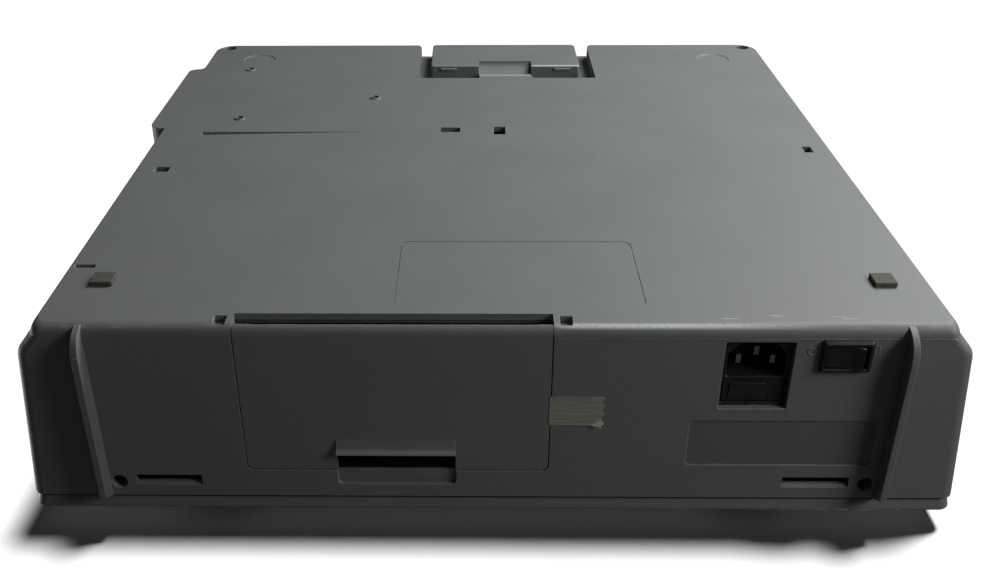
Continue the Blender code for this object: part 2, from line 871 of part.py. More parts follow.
def document_lid():
    axis_y, axis_z = lid_axis()
    low = COVER_Z1 + GAP
    high = low + LID_H
    front, rear = lid_span()
    rings = []
    half = LID_W / 2
    for draw, z in ((0, low), (0, high - LID_WALL), (LID_WALL / 3, high - LID_WALL / 3), (LID_WALL, high)):
        outline = rounded_rectangle(
            (-half + draw, half - draw), (front + draw, rear - draw), (LID_CORNER_R,) * 4
        )
        rings.append([(x, y, z) for x, y in outline])
    shape = bmesh.new()
    add_loft(shape, rings)
    lid = node("lid_cover", shape, (0.15, 0.155, 0.157), 0.55, origin=(0, axis_y, axis_z))
    room = bmesh.new()
    add_box(
        room,
        (-half + LID_WALL, half - LID_WALL),
        (front + LID_WALL, rear - LID_WALL),
        (low - LID_WALL, high - LID_WALL),
    )
    cut(lid, room, "room")
    ears = bmesh.new()
    for side in (-1, 1):
        span = around(side * LID_HINGE_X, LID_EAR_W)
        outline = arc((axis_y, axis_z), LID_EAR_R, -90, 90, 8)
        outline += [(rear - LID_WALL / 2, axis_z + LID_EAR_R), (rear - LID_WALL / 2, axis_z - LID_EAR_R)]
        add_prism(ears, outline, "yz", *span)
    join(lid, ears, "ears")
    bore = bmesh.new()
    add_rod(bore, (-LID_W, axis_y, axis_z), "x", 2 * LID_W, LID_PIN_R + GAP, 16)
    cut(lid, bore, "pin_bore")
    pad = bmesh.new()
    edge = LID_WALL + PAD_MARGIN
    top = high - LID_WALL - GAP
    add_box(pad, (-half + edge, half - edge), (front + edge, rear - edge), (top - PAD_T, top))
    node("lid_pad", pad, (0.85, 0.85, 0.82), 0.9, origin=(0, axis_y, axis_z))
    lid_hinge(axis_y, axis_z)


def lid_hinge(axis_y, axis_z):
    """A forked bracket and a pin for each of the lid's two ears."""
    low = COVER_Z1 + GAP
    for side, word in SIDES:
        x = side * LID_HINGE_X
        width = LID_EAR_W + 2 * RUN_GAP + 2 * LID_CHEEK
        outline = arc((axis_y, axis_z), LID_EAR_R, 0, 180, 8)
        outline += [(axis_y - LID_EAR_R, low), (axis_y + LID_EAR_R, low)]
        block = bmesh.new()
        add_prism(block, outline, "yz", *around(x, width))
        bracket = node(f"lid_hinge_bracket_{word}", block, (0.15, 0.155, 0.157), 0.55)
        fork = bmesh.new()
        deep = (axis_y - 2 * LID_EAR_R, axis_y + 2 * LID_EAR_R)
        web = axis_z - LID_EAR_R - GAP
        add_box(fork, around(x, LID_EAR_W + 2 * RUN_GAP), deep, (web, axis_z + 2 * LID_EAR_R))
        cut(bracket, fork, "fork")
        bore = bmesh.new()
        add_rod(bore, (x - width, axis_y, axis_z), "x", 2 * width, LID_PIN_R + GAP, 16)
        cut(bracket, bore, "pin_bore")
        pin = bmesh.new()
        add_rod(pin, (x - width / 2, axis_y, axis_z), "x", width, LID_PIN_R, 16)
        node(f"lid_hinge_pin_{word}", pin, (0.6, 0.6, 0.6), 0.3, 1.0)


def rear_door():
    y, z = door_axis()
    span = door_span()
    wrap = 360 - degrees(acos(1 - DOOR_WRAP / EDGE_R))
    outer = arc((y, z), EDGE_R, wrap, 360, 6)
    inner = arc((y, z), EDGE_R - DOOR_T, 360, wrap, 6)
    top = above(DOOR_H - GAP)
    outline = outer + [(REAR_Y, top), (REAR_Y - DOOR_T, top)] + inner
    shape = bmesh.new()
    add_prism(shape, outline, "yz", *span)
    door = node("rear_door", shape, (0.11, 0.113, 0.115), 0.6, origin=(0, y, z))
    keep = bmesh.new()
    face = rounded_rectangle(span, (UNDER_Z - WALL, top), (0, 0, DOOR_CORNER_R, DOOR_CORNER_R))
    add_prism(keep, face, "xz", from_rear(HINGE_SLOT), REAR_Y + WALL)
    combine(door, "INTERSECT", keep, "outline")
    extra = bmesh.new()
    pull = pull_span()
    lip = [
        (REAR_Y - DOOR_T / 2, above(PULL_H0)),
        (REAR_Y, above(PULL_H0)),
        (REAR_Y + PULL_OUT / 3, above((PULL_H0 + PULL_H1) / 2)),
        (REAR_Y + PULL_OUT, above(PULL_H1 - DOOR_T / 2)),
        (REAR_Y + PULL_OUT, above(PULL_H1)),
        (REAR_Y - DOOR_T / 2, above(PULL_H1)),
    ]
    add_prism(extra, lip, "yz", *pull)
    for edge, way in zip(span, (1, -1)):
        add_rod(extra, (min(edge, edge + way * KNUCKLE_L), y, z), "x", KNUCKLE_L, KNUCKLE_R, 24)
    join(door, extra, "pull_and_knuckles")
    gone = bmesh.new()
    add_box(gone, pull, (REAR_Y - 2 * DOOR_T, REAR_Y + WALL), (above(PULL_H1), above(DOOR_H + WALL)))
    for edge, way in zip(span, (1, -1)):
        low = min(edge - way * WALL, edge + way * (KNUCKLE_L + WALL))
        add_rod(gone, (low, y, z), "x", KNUCKLE_L + 2 * WALL, DOOR_PIN_R + GAP, 16)
    cut(door, gone, "notch_and_bores")
    for edge, (side, word) in zip(span, SIDES):
        inside = edge - side * (KNUCKLE_L - GAP)
        pin = bmesh.new()
        add_rod(pin, (min(inside, inside + side * DOOR_PIN_L), y, z), "x", DOOR_PIN_L, DOOR_PIN_R, 16)
        node(f"door_hinge_pin_{word}", pin, (0.55, 0.55, 0.55), 0.35, 1.0)


def bay_back():
    """Y of the compartment's back wall, on the side towards the door."""
    return from_rear(HINGE_SLOT + GAP + BAY_D)


def port_centres():
    return DOOR_X - PORT_PITCH / 2, DOOR_X + PORT_PITCH / 2


def door_bay():
    span = door_span()
    mouth = from_rear(HINGE_SLOT + GAP)
    back = bay_back()
    low = FLOOR_Z + GAP
    high = above(DOOR_H)
    shape = bmesh.new()
    add_box(shape, span, (back - BAY_WALL, mouth), (low, high))
    liner = node("bay_liner", shape, (0.08, 0.08, 0.085), 0.7)
    room = bmesh.new()
    inner = (span[0] + BAY_WALL, span[1] - BAY_WALL)
    add_box(room, inner, (back, mouth + WALL), (low + BAY_WALL, high - BAY_WALL))
    cut(liner, room, "room")
    windows = bmesh.new()
    for x, (side, word) in zip(port_centres(), SIDES):
        tall = (above(PORT_H0), above(PORT_H0 + PORT_H))
        front = back - BAY_WALL - GAP
        port = bmesh.new()
        add_box(port, around(x, PORT_W), (front, front + PORT_L), tall)
        node(f"port_connector_{word}", port, (0.35, 0.35, 0.36), 0.4, 0.6)
        clear = (tall[0] - RUN_GAP, tall[1] + RUN_GAP)
        add_box(windows, around(x, PORT_W + 2 * RUN_GAP), (back - 2 * BAY_WALL, back + BAY_WALL), clear)
    cut(liner, windows, "port_windows")
    board = bmesh.new()
    face = back - BAY_WALL - 2 * GAP
    add_box(
        board,
        (span[0] - BOARD_MARGIN, span[1] + BOARD_MARGIN),
        (face - BOARD_T, face),
        (low, high),
    )
    node("main_board", board, (0.05, 0.22, 0.10), 0.5)


def mains_inlet():
    face = from_rear(INLET_SET_BACK)
    low = above(INLET_H0 + GAP)
    high = above(INLET_H0 + INLET_HIGH - GAP)
    shape = bmesh.new()
    add_box(shape, around(INLET_X, INLET_W - 2 * GAP), (face - INLET_D, face), (low, high))
    body = node("inlet_body", shape, (0.02, 0.02, 0.02), 0.45)
    room = bmesh.new()
    half = SOCKET_W / 2
    bottom = above(SOCKET_H0)
    top = bottom + SOCKET_HIGH
    cavity = [
        (INLET_X - half + SOCKET_CHAMFER, bottom),
        (INLET_X + half - SOCKET_CHAMFER, bottom),
        (INLET_X + half, bottom + SOCKET_CHAMFER),
        (INLET_X + half, top),
        (INLET_X - half, top),
        (INLET_X - half, bottom + SOCKET_CHAMFER),
    ]
    add_prism(room, cavity, "xz", face - SOCKET_D, face + WALL)
    mid = above(FUSE_H0 + FUSE_FACE_HIGH / 2)
    add_box(
        room,
        around(INLET_X, FUSE_FACE_W + 2 * RUN_GAP),
        (face - FUSE_FACE_T - RUN_GAP, face + WALL),
        around(mid, FUSE_FACE_HIGH + 2 * RUN_GAP),
    )
    cut(body, room, "socket")
    tunnel = bmesh.new()
    add_box(
        tunnel,
        around(INLET_X, FUSE_TRAY_W + 2 * RUN_GAP),
        (face - FUSE_FACE_T - FUSE_TRAY_D - RUN_GAP, face),
        around(mid, FUSE_TRAY_HIGH + 2 * RUN_GAP),
    )
    cut(body, tunnel, "fuse_tunnel")
    line = middle((bottom, top)) + BLADE_OFFSET / 4
    floor = face - SOCKET_D + GAP
    places = (("left", -BLADE_PITCH, line), ("earth", 0, line - BLADE_OFFSET), ("right", BLADE_PITCH, line))
    for word, x, z in places:
        blade = bmesh.new()
        add_box(blade, around(INLET_X + x, BLADE_W), (floor, floor + BLADE_L), around(z, BLADE_HIGH))
        node(f"inlet_pin_{word}", blade, (0.75, 0.72, 0.62), 0.3, 1.0)
    origin = (INLET_X, face, mid)
    drawer = bmesh.new()
    add_box(
        drawer,
        around(INLET_X, FUSE_FACE_W),
        (face - FUSE_FACE_T, face),
        around(mid, FUSE_FACE_HIGH),
    )
    slide = node("fuse_drawer", drawer, (0.025, 0.025, 0.025), 0.4, origin=origin)
    tray = bmesh.new()
    depth = (face - FUSE_FACE_T - FUSE_TRAY_D, face - FUSE_FACE_T / 2)
    add_box(tray, around(INLET_X, FUSE_TRAY_W), depth, around(mid, FUSE_TRAY_HIGH))
    join(slide, tray, "tray")
    cradle = bmesh.new()
    centre = face - FUSE_FACE_T - FUSE_TRAY_D / 2
    room = 2 * (FUSE_R + RUN_GAP)
    add_box(
        cradle,
        around(INLET_X, room),
        around(centre, FUSE_L + 2 * RUN_GAP),
        (mid - FUSE_R - RUN_GAP, mid + FUSE_TRAY_HIGH),
    )
    cut(slide, cradle, "cradle")
    fuse = bmesh.new()
    add_rod(fuse, (INLET_X, centre - FUSE_L / 2, mid), "y", FUSE_L, FUSE_R, 16)
    node("fuse", fuse, (0.7, 0.72, 0.7), 0.2, 0.3, origin=origin)


def power_switch():
    z = above(SWITCH_H)
    front = REAR_Y + GAP
    shape = bmesh.new()
    add_box(shape, around(SWITCH_X, SWITCH_W), (front, front + SWITCH_FLANGE), around(z, SWITCH_HIGH))
    body = node("switch_body", shape, (0.02, 0.02, 0.02), 0.4)
    inside = bmesh.new()
    add_box(
        inside,
        around(SWITCH_X, SWITCH_W - 2 * SWITCH_LIP),
        (REAR_Y - SWITCH_D, front + SWITCH_FLANGE / 2),
        around(z, SWITCH_HIGH - 2 * SWITCH_LIP),
    )
    join(body, inside, "box")
    well = bmesh.new()
    add_box(
        well,
        around(SWITCH_X, ROCKER_W + 2 * ROCKER_ROOM),
        (REAR_Y - ROCKER_WELL, front + 2 * SWITCH_FLANGE),
        around(z, ROCKER_HIGH + 2 * GAP),
    )
    cut(body, well, "well")
    pivot = REAR_Y - ROCKER_WELL / 3
    half = ROCKER_W / 2
    crown = front + SWITCH_FLANGE - pivot + GAP
    outline = [(-half, crown), (-half, -half / 8), (-half / 3, -half / 2), (half / 3, -half / 2)]
    outline += [(half, -half / 8), (half, crown), (0, crown - half * sin(radians(ROCKER_TILT)))]
    turn = Matrix.Rotation(radians(ROCKER_TILT), 2)
    turned = [turn @ Vector(point) for point in outline]
    placed = [(SWITCH_X + p.x, pivot + p.y) for p in turned]
    paddle = bmesh.new()
    add_prism(paddle, placed, "xy", *around(z, ROCKER_HIGH))
    node("switch_rocker", paddle, (0.025, 0.025, 0.025), 0.35, origin=(SWITCH_X, pivot, z))


def make_screw(name, seat, axis, way, head_r, head_h, length):
    """A screw whose head bears on the seat point, with its shank along the axis, forwards or back."""
    step = Vector({"x": (1, 0, 0), "y": (0, 1, 0), "z": (0, 0, 1)}[axis]) * way
    ends = (Vector(seat) - step * head_h, Vector(seat))
    head = bmesh.new()
    add_rod(head, ends[0] if way > 0 else ends[1], axis, head_h, head_r, 16)
    screw = node(name, head, (0.25, 0.25, 0.25), 0.4, 1.0)
    ends = (Vector(seat) - step * head_h / 2, Vector(seat) + step * length)
    shank = bmesh.new()
    add_rod(shank, ends[0] if way > 0 else ends[1], axis, length + head_h / 2, SCREW_R, 12)
    join(screw, shank, "shank")


def feet_and_screws():
    for side, word in SIDES:
        near = from_rear(FOOT_IN)
        foot = bmesh.new()
        x = in_from_side(side, FOOT_SIDE)
        add_box(foot, around(x, FOOT_W), (near - FOOT_L, near), (0, UNDER_Z - GAP))
        node(f"rear_foot_{word}", foot, (0.35, 0.33, 0.25), 0.8)
        x = corner_x(side)
        seat = (x, from_front(CORNER_FRONT), above(CORNER_BOSS_H - CORNER_SEAT) - GAP)
        make_screw(f"front_case_screw_{word}", seat, "z", 1, SCREW_HEAD_R, SCREW_HEAD_H, CORNER_SCREW_L)
        seat = (in_from_side(side, REAR_SCREW_SIDE), from_rear(REAR_SEAT) + GAP, above(REAR_SCREW_H))
        make_screw(f"rear_case_screw_{word}", seat, "y", -1, SCREW_HEAD_R, SCREW_HEAD_H, REAR_SCREW_L)
    for word, (x, y) in zip(("front", "rear", "inner"), chassis_points()):
        seat = (x, y, above(CHASSIS_SINK) - GAP)
        name = f"chassis_screw_{word}"
        make_screw(name, seat, "z", 1, CHASSIS_HEAD_R, CHASSIS_HEAD_H, CHASSIS_SCREW_L)


def carry_handle():
    front = FRONT_Y + HANDLE_SET_BACK
    rear = front + HANDLE_D
    low = above(HANDLE_SKIN)
    high = low + HANDLE_T
    shape = bmesh.new()
    outline = rounded_rectangle(handle_span(), (front, rear), (WALL, WALL, SIDE_R, SIDE_R))
    add_prism(shape, outline, "xy", low, high)
    handle = node("carry_handle", shape, (0.13, 0.135, 0.137), 0.6, origin=(HANDLE_X, rear, low))
    scoop = []
    for i in range(7):
        turn = radians(15 * i)
        scoop.append((rear - HANDLE_NOTCH_D * cos(turn), UNDER_Z + SCOOP_DEPTH * sin(turn)))
    outline = [(rear - HANDLE_NOTCH_D, low - WALL)] + scoop
    outline += [(rear + WALL, UNDER_Z + SCOOP_DEPTH), (rear + WALL, low - WALL)]
    notch = bmesh.new()
    add_prism(notch, outline, "yz", *around(HANDLE_X, HANDLE_NOTCH_W))
    cut(handle, notch, "scoop")
    arms = bmesh.new()
    bottom, top = arm_heights()
    for span in pockets():
        x = middle(span)
        tongue = [
            (rear - TONGUE_D, high - WALL / 2),
            (rear - SIDE_R, high - WALL / 2),
            (rear - SIDE_R, bottom),
            (rear - SIDE_R + ARM_L, bottom),
            (rear - SIDE_R + ARM_L, top),
            (rear - TONGUE_D, top),
        ]
        add_prism(arms, tongue, "yz", *around(x, ARM_W))
    join(handle, arms, "arms")
    start = recess_back() + TUB_WALL + GAP
    for span, (side, word) in zip(pockets(), SIDES):
        outer = around(middle(span), ARM_W + 2 * GUIDE_WALL)
        block = bmesh.new()
        add_box(block, outer, (start, start + GUIDE_L), (bottom - GUIDE_WALL, top + GUIDE_WALL))
        guide = node(f"handle_guide_{word}", block, (0.3, 0.3, 0.3), 0.6)
        tunnel = bmesh.new()
        add_box(
            tunnel,
            around(middle(span), ARM_W + 2 * RUN_GAP),
            (start - WALL, start + GUIDE_L + WALL),
            (bottom - RUN_GAP, top + RUN_GAP),
        )
        cut(guide, tunnel, "tunnel")


def carriage_home():
    """X of the carriage's middle at rest, at the left end of its travel."""
    return POST_T + CARRIAGE_CLEAR + CARRIAGE_W / 2 - inner_half()


def scan_way():
    """Guide rod, its posts and the rear support rail."""
    z = above(ROD_H)
    rod = bmesh.new()
    add_rod(rod, (-inner_half(), rod_y(), z), "x", 2 * inner_half(), ROD_R, 20)
    node("guide_rod", rod, (0.7, 0.7, 0.72), 0.2, 1.0)
    for side, word in SIDES:
        end = side * inner_half()
        span = sorted((end + side * GAP, end - side * POST_T))
        foot = FLOOR_Z + GAP
        if side < 0:
            foot += CHASSIS_T + GAP
        post = bmesh.new()
        add_box(post, span, around(rod_y(), POST_W), (foot, z + ROD_R + POST_CAP))
        bracket = node(f"rod_bracket_{word}", post, (0.25, 0.25, 0.26), 0.6)
        bore = bmesh.new()
        add_rod(bore, (span[0] - WALL, rod_y(), z), "x", POST_T + 3 * WALL, ROD_R + GAP, 20)
        cut(bracket, bore, "bore")
    rail = bmesh.new()
    low = FLOOR_Z + GAP
    top = above(CARRIAGE_H0) - RUN_GAP - RAIL_T
    profile = [
        (rail_y() - RAIL_W / 2, low),
        (rail_y() + RAIL_FOOT - RAIL_W / 2, low),
        (rail_y() + RAIL_FOOT - RAIL_W / 2, low + RAIL_T),
        (rail_y() - RAIL_W / 2 + RAIL_T, low + RAIL_T),
        (rail_y() - RAIL_W / 2 + RAIL_T, top - RAIL_T),
        (rail_y() + RAIL_W / 2, top - RAIL_T),
        (rail_y() + RAIL_W / 2, top),
        (rail_y() - RAIL_W / 2, top),
    ]
    add_prism(rail, profile, "yz", *around(0, 2 * inner_half() - 2 * POST_T))
    node("support_rail", rail, (0.6, 0.6, 0.6), 0.4, 1.0)


def scan_carriage():
    x = carriage_home()
    low = above(CARRIAGE_H0)
    high = low + CARRIAGE_HIGH
    rod_z = above(ROD_H)
    origin = (x, rod_y(), rod_z)
    span = around(x, CARRIAGE_W)
    deep = around(glass_y(), CARRIAGE_D)
    shape = bmesh.new()
    add_box(shape, span, deep, (low, high))
    body = node("scan_carriage", shape, (0.05, 0.05, 0.05), 0.6, origin=origin)
    room = bmesh.new()
    wall = CARRIAGE_WALL
    add_box(
        room,
        (span[0] + wall, span[1] - wall),
        (deep[0] + wall, deep[1] - wall),
        (low + wall, high - wall),
    )
    cut(body, room, "room")
    slit = bmesh.new()
    add_box(slit, around(x, SLIT_W), (deep[0] + 2 * wall, deep[1] - 2 * wall), (high - 2 * wall, high + wall))
    cut(body, slit, "slit")
    under = bmesh.new()
    add_box(under, around(x, CARRIAGE_W), around(rod_y(), SLEEVE_W), (rod_z - ROD_R - wall, low + wall / 2))
    run = belt_y() + PULLEY_R + BELT_T / 2
    grip = sorted((run + BELT_T / 2 + RUN_GAP, run + BELT_T / 2 + RUN_GAP + wall))
    add_box(under, around(x, CLAMP_W), grip, (above(PULLEY_H0 + FLANGE_T), low + wall / 2))
    add_box(
        under,
        around(x, CLAMP_W),
        around(rail_y(), RAIL_W),
        (low - RUN_GAP / 2, low + wall / 2),
    )
    join(body, under, "sleeve_and_clamp")
    bore = bmesh.new()
    add_rod(bore, (x - CARRIAGE_W, rod_y(), rod_z), "x", 2 * CARRIAGE_W, ROD_R + GAP, 20)
    cut(body, bore, "rod_bore")
    carriage_optics(x, low, high, deep, origin)


def carriage_optics(x, low, high, deep, origin):
    wall = CARRIAGE_WALL
    inner = (deep[0] + wall + GAP, deep[1] - wall - GAP)
    lamp = bmesh.new()
    lamp_x = x - CARRIAGE_W / 2 + wall + GAP + LAMP_R
    lamp_z = high - wall - GAP - LAMP_R
    add_rod(lamp, (lamp_x, inner[0], lamp_z), "y", inner[1] - inner[0], LAMP_R, 16)
    node("scan_lamp", lamp, (0.9, 0.9, 0.85), 0.2, origin=origin)
    floor = low + wall + GAP
    reach = inner[0] + MIRROR_W, inner[1] - MIRROR_W
    lean = MIRROR_W * sin(radians(45))
    thick = MIRROR_T * sin(radians(45))
    for side, word in SIDES:
        foot = x + side * (CARRIAGE_W / 2 - wall - GAP)
        outline = [
            (foot, floor + thick),
            (foot - side * thick, floor),
            (foot - side * (thick + lean), floor + lean),
            (foot - side * lean, floor + lean + thick),
        ]
        mirror = bmesh.new()
        add_prism(mirror, outline, "xz", *reach)
        node(f"scan_mirror_{word}", mirror, (0.85, 0.85, 0.87), 0.05, 1.0, origin=origin)
    lens = bmesh.new()
    add_rod(lens, (x - LENS_L / 2, glass_y(), floor + LENS_R), "x", LENS_L, LENS_R, 20)
    node("scan_lens", lens, (0.03, 0.03, 0.04), 0.3, origin=origin)
    board = bmesh.new()
    side = x + LENS_L / 2 + GAP
    add_box(
        board,
        (side, side + BOARD_T),
        around(glass_y(), SENSOR_D),
        (floor, floor + SENSOR_W),
    )
    node("sensor_board", board, (0.05, 0.2, 0.1), 0.5, origin=origin)


def pulley(shape, x):
    """A flanged belt pulley on a vertical axis."""
    z = above(PULLEY_H0)
    rim = PULLEY_R + FLANGE_OVER
    add_rod(shape, (x, belt_y(), z), "z", FLANGE_T, rim, 24)
    add_rod(shape, (x, belt_y(), z + PULLEY_HIGH - FLANGE_T), "z", FLANGE_T, rim, 24)


def make_pulley(name, x, bore_r):
    shape = bmesh.new()
    z = above(PULLEY_H0)
    core = PULLEY_R - BELT_T / 2 - GAP
    add_rod(shape, (x, belt_y(), z), "z", PULLEY_HIGH, core, 24)
    wheel = node(name, shape, (0.75, 0.75, 0.72), 0.5, origin=(x, belt_y(), z))
    rims = bmesh.new()
    pulley(rims, x)
    join(wheel, rims, "flanges")
    bore = bmesh.new()
    add_rod(bore, (x, belt_y(), z - WALL), "z", PULLEY_HIGH + 2 * WALL, bore_r + GAP, 16)
    cut(wheel, bore, "bore")


def carriage_drive():
    chassis_x = [x for x, y in chassis_points()]
    chassis_y = [y for x, y in chassis_points()]
    left = GAP - inner_half()
    low = FLOOR_Z + GAP
    shape = bmesh.new()
    add_box(
        shape,
        (left, max(chassis_x) + CHASSIS_MARGIN),
        (min(chassis_y) - CHASSIS_MARGIN / 2, max(chassis_y) + CHASSIS_MARGIN),
        (low, low + CHASSIS_T),
    )
    plate = node("drive_chassis", shape, (0.6, 0.6, 0.6), 0.35, 1.0)
    holes = bmesh.new()
    for x, y in chassis_points():
        add_rod(holes, (x, y, low - WALL), "z", 3 * WALL, SCREW_R + SCREW_CLEAR, 12)
    cut(plate, holes, "holes")
    motor_z = low + CHASSIS_T + GAP
    motor = bmesh.new()
    add_box(motor, around(motor_x(), MOTOR_W), around(belt_y(), MOTOR_W), (motor_z, motor_z + MOTOR_H))
    block = node("drive_motor", motor, (0.2, 0.2, 0.21), 0.4, 0.8)
    shaft = bmesh.new()
    end = above(PULLEY_H0 + PULLEY_HIGH)
    start = motor_z + MOTOR_H / 2
    add_rod(shaft, (motor_x(), belt_y(), start), "z", end - start, SHAFT_R, 16)
    join(block, shaft, "shaft")
    make_pulley("motor_pulley", motor_x(), SHAFT_R)
    post = bmesh.new()
    top = above(PULLEY_H0) - RUN_GAP
    add_box(post, around(idler_x(), IDLER_BASE), around(belt_y(), IDLER_BASE), (low, top))
    stand = node("idler_post", post, (0.25, 0.25, 0.26), 0.6)
    pin = bmesh.new()
    start = above(PULLEY_H0) - WALL
    add_rod(pin, (idler_x(), belt_y(), start), "z", end - start, SHAFT_R, 16)
    join(stand, pin, "pin")
    make_pulley("idler_pulley", idler_x(), SHAFT_R)
    drive_belt()
    home = bmesh.new()
    home_y = max(chassis_y)
    add_box(home, around(HOME_X, HOME_W), around(home_y, HOME_D), (motor_z, motor_z + HOME_H))
    node("home_sensor", home, (0.03, 0.03, 0.03), 0.5)


def belt_outline(radius):
    right = arc((idler_x(), belt_y()), radius, -90, 90, 12)
    left = arc((motor_x(), belt_y()), radius, 90, 270, 12)
    return right + left


def drive_belt():
    z = middle((above(PULLEY_H0), above(PULLEY_H0 + PULLEY_HIGH)))
    shape = bmesh.new()
    add_prism(shape, belt_outline(PULLEY_R + BELT_T / 2), "xy", *around(z, BELT_HIGH))
    belt = node("drive_belt", shape, (0.03, 0.03, 0.03), 0.8)
    inside = bmesh.new()
    add_prism(inside, belt_outline(PULLEY_R - BELT_T / 2), "xy", *around(z, 2 * BELT_HIGH))
    cut(belt, inside, "inside")


def power_supply():
    shape = bmesh.new()
    near = from_rear(PSU_IN)
    low = FLOOR_Z + GAP
    right = inner_half() - PSU_CLEAR
    front = glass_y() + CARRIAGE_D / 2 + PSU_AHEAD
    add_box(shape, (right - PSU_W, right), (front, near), (low, low + PSU_H))
    node("power_supply", shape, (0.6, 0.6, 0.6), 0.4, 1.0)


base_shell()
top_cover()
platen_glass()
document_lid()
rear_door()
door_bay()
mains_inlet()
power_switch()
feet_and_screws()
carry_handle()
scan_way()
scan_carriage()
carriage_drive()
power_supply()
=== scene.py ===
"""Looks of the portable flatbed scanner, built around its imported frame.

Metres, +Z up, front at -Y, rear panel at +Y. The photograph shows the scanner lying on its lid, so the
camera stands behind it and below it, turned over.
"""

from math import cos, pi, radians, sin

import bmesh
import bpy
from mathutils import Matrix, Vector


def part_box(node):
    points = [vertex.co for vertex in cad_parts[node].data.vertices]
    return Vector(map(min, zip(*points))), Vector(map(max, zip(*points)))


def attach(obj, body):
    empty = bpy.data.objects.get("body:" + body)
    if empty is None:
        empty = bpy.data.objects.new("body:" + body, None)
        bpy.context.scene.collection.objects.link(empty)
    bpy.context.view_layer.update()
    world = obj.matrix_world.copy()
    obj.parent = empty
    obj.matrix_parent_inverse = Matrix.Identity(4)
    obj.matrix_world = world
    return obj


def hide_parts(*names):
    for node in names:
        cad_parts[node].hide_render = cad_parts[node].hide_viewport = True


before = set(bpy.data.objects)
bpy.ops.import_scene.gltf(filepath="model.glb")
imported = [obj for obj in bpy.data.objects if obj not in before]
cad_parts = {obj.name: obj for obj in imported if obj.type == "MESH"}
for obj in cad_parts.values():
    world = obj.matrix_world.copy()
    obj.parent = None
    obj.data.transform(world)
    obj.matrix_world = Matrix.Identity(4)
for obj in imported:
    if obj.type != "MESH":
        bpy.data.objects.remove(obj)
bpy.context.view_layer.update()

# Heights and depths that the housing's pieces share
UNDER = 0.0023
SEAM = 0.0903
COVER_LOW = 0.0909
COVER_TOP = 0.0973
LID_LOW = 0.0976
LID_TOP = 0.1092
FRONT = -0.1940
REAR = 0.1860
WALL = 0.0030
FLOOR = UNDER + WALL
EDGE_R = 0.0050
SIDE_R = 0.0020
BASE_HALF = 0.1880
LEDGE_HALF = 0.1965
SEAM_HALF = 0.2030
GAP = 0.0003
RUN = 0.0004
SIDES = (-1, 1)

# Rear door and its pull
DOOR_X = (-0.1055, 0.0245)
DOOR_TOP = UNDER + 0.0727
DOOR_AXIS = (REAR - EDGE_R, UNDER + EDGE_R)
PULL_X = (-0.0664, -0.0152)
PULL_WELL = (PULL_X[0] - WALL, PULL_X[1] + WALL)
PULL_EDGE = UNDER + 0.0634
PULL_OUT = REAR + 0.0028

# Carry handle and its recess
HANDLE_X = (-0.0365, 0.0625)
HANDLE_MID = 0.0130
HANDLE_FRONT = FRONT + 0.0020
HANDLE_REAR = HANDLE_FRONT + 0.0470
RECESS_BACK = HANDLE_REAR + 0.0255
RECESS_TOP = UNDER + 0.0093
POCKET_TOP = RECESS_TOP + 0.0105
POCKETS = ((-0.0345, -0.0045), (0.0305, 0.0605))
SCOOP = (-0.0045, 0.0305)
SCOOP_DEPTH = 0.0060

# Inlet and switch on the rear panel
INLET_X = 0.1085
INLET_Z = (UNDER + 0.0072, UNDER + 0.0399)
INLET_FACE = REAR - 0.0025
FUSE_Z = UNDER + 0.0324
SWITCH_X = 0.1433
SWITCH_Z = UNDER + 0.0132

# Platen and lid
GLASS_Y = -0.0300
LID_HALF = 0.1820
LID_SKIN = 0.0025
LID_Y = (-0.1840, 0.1570)
LID_AXIS = (0.1650, 0.1035)
LID_HINGE_X = 0.1200

# Screws, latch slots and the bare label field
CASE_SCREW = (0.1784, FRONT + 0.0100)
REAR_SCREW = (0.1629, UNDER + 0.0802)
CHASSIS_SCREWS = ((-0.1552, FRONT + 0.0577), (-0.1456, FRONT + 0.1474), (-0.0684, FRONT + 0.1121))
SCREW_BORE = 0.0018
LATCH_X = 0.1409
LABEL_X = (0.0835, 0.1630)
LABEL_Z = (UNDER + 0.0462, UNDER + 0.0696)

# Small windows in the underside: middle, width and length
WINDOWS = (
    (-0.0213, REAR - 0.2150, 0.0112, 0.0071),
    (0.0069, REAR - 0.2137, 0.0065, 0.0117),
    (-0.1731, REAR - 0.1583, 0.0076, 0.0064),
    (0.1747, REAR - 0.1852, 0.0045, 0.0082),
    (-0.1802, REAR - 0.0508, 0.0092, 0.0028),
)

# Colours
CHARCOAL = (0.178, 0.187, 0.189)
# Near-black painted shade, put in the door's well and along the seams between housing and cover
PAINTED_SHADE = (0.01, 0.01, 0.01)


def up(height):
    """Z of a point this far above the underside."""
    return UNDER + height


def ahead(distance):
    """Y of a point this far in front of the rear panel."""
    return REAR - distance


def add_box(shape, low, high):
    """A box between two corners. Returns its edges."""
    size = Vector(high) - Vector(low)
    place = Matrix.Translation((Vector(low) + Vector(high)) / 2) @ Matrix.Diagonal((*size, 1.0))
    verts = bmesh.ops.create_cube(shape, size=1.0, matrix=place)["verts"]
    return list({edge for vert in verts for edge in vert.link_edges})


def add_block(shape, x, y, z):
    """A box given by its ranges along X, Y and Z. Returns its edges."""
    return add_box(shape, *zip(x, y, z))


def add_rod(shape, start, end, radius, end_radius=None, segments=32):
    """A rod or cone between two points. Returns its edges."""
    start, end = Vector(start), Vector(end)
    turn = (end - start).to_track_quat("Z", "Y").to_matrix().to_4x4()
    verts = bmesh.ops.create_cone(
        shape,
        cap_ends=True,
        segments=segments,
        radius1=radius,
        radius2=radius if end_radius is None else end_radius,
        depth=(end - start).length,
        matrix=Matrix.Translation((start + end) / 2) @ turn,
    )["verts"]
    return list({edge for vert in verts for edge in vert.link_edges})


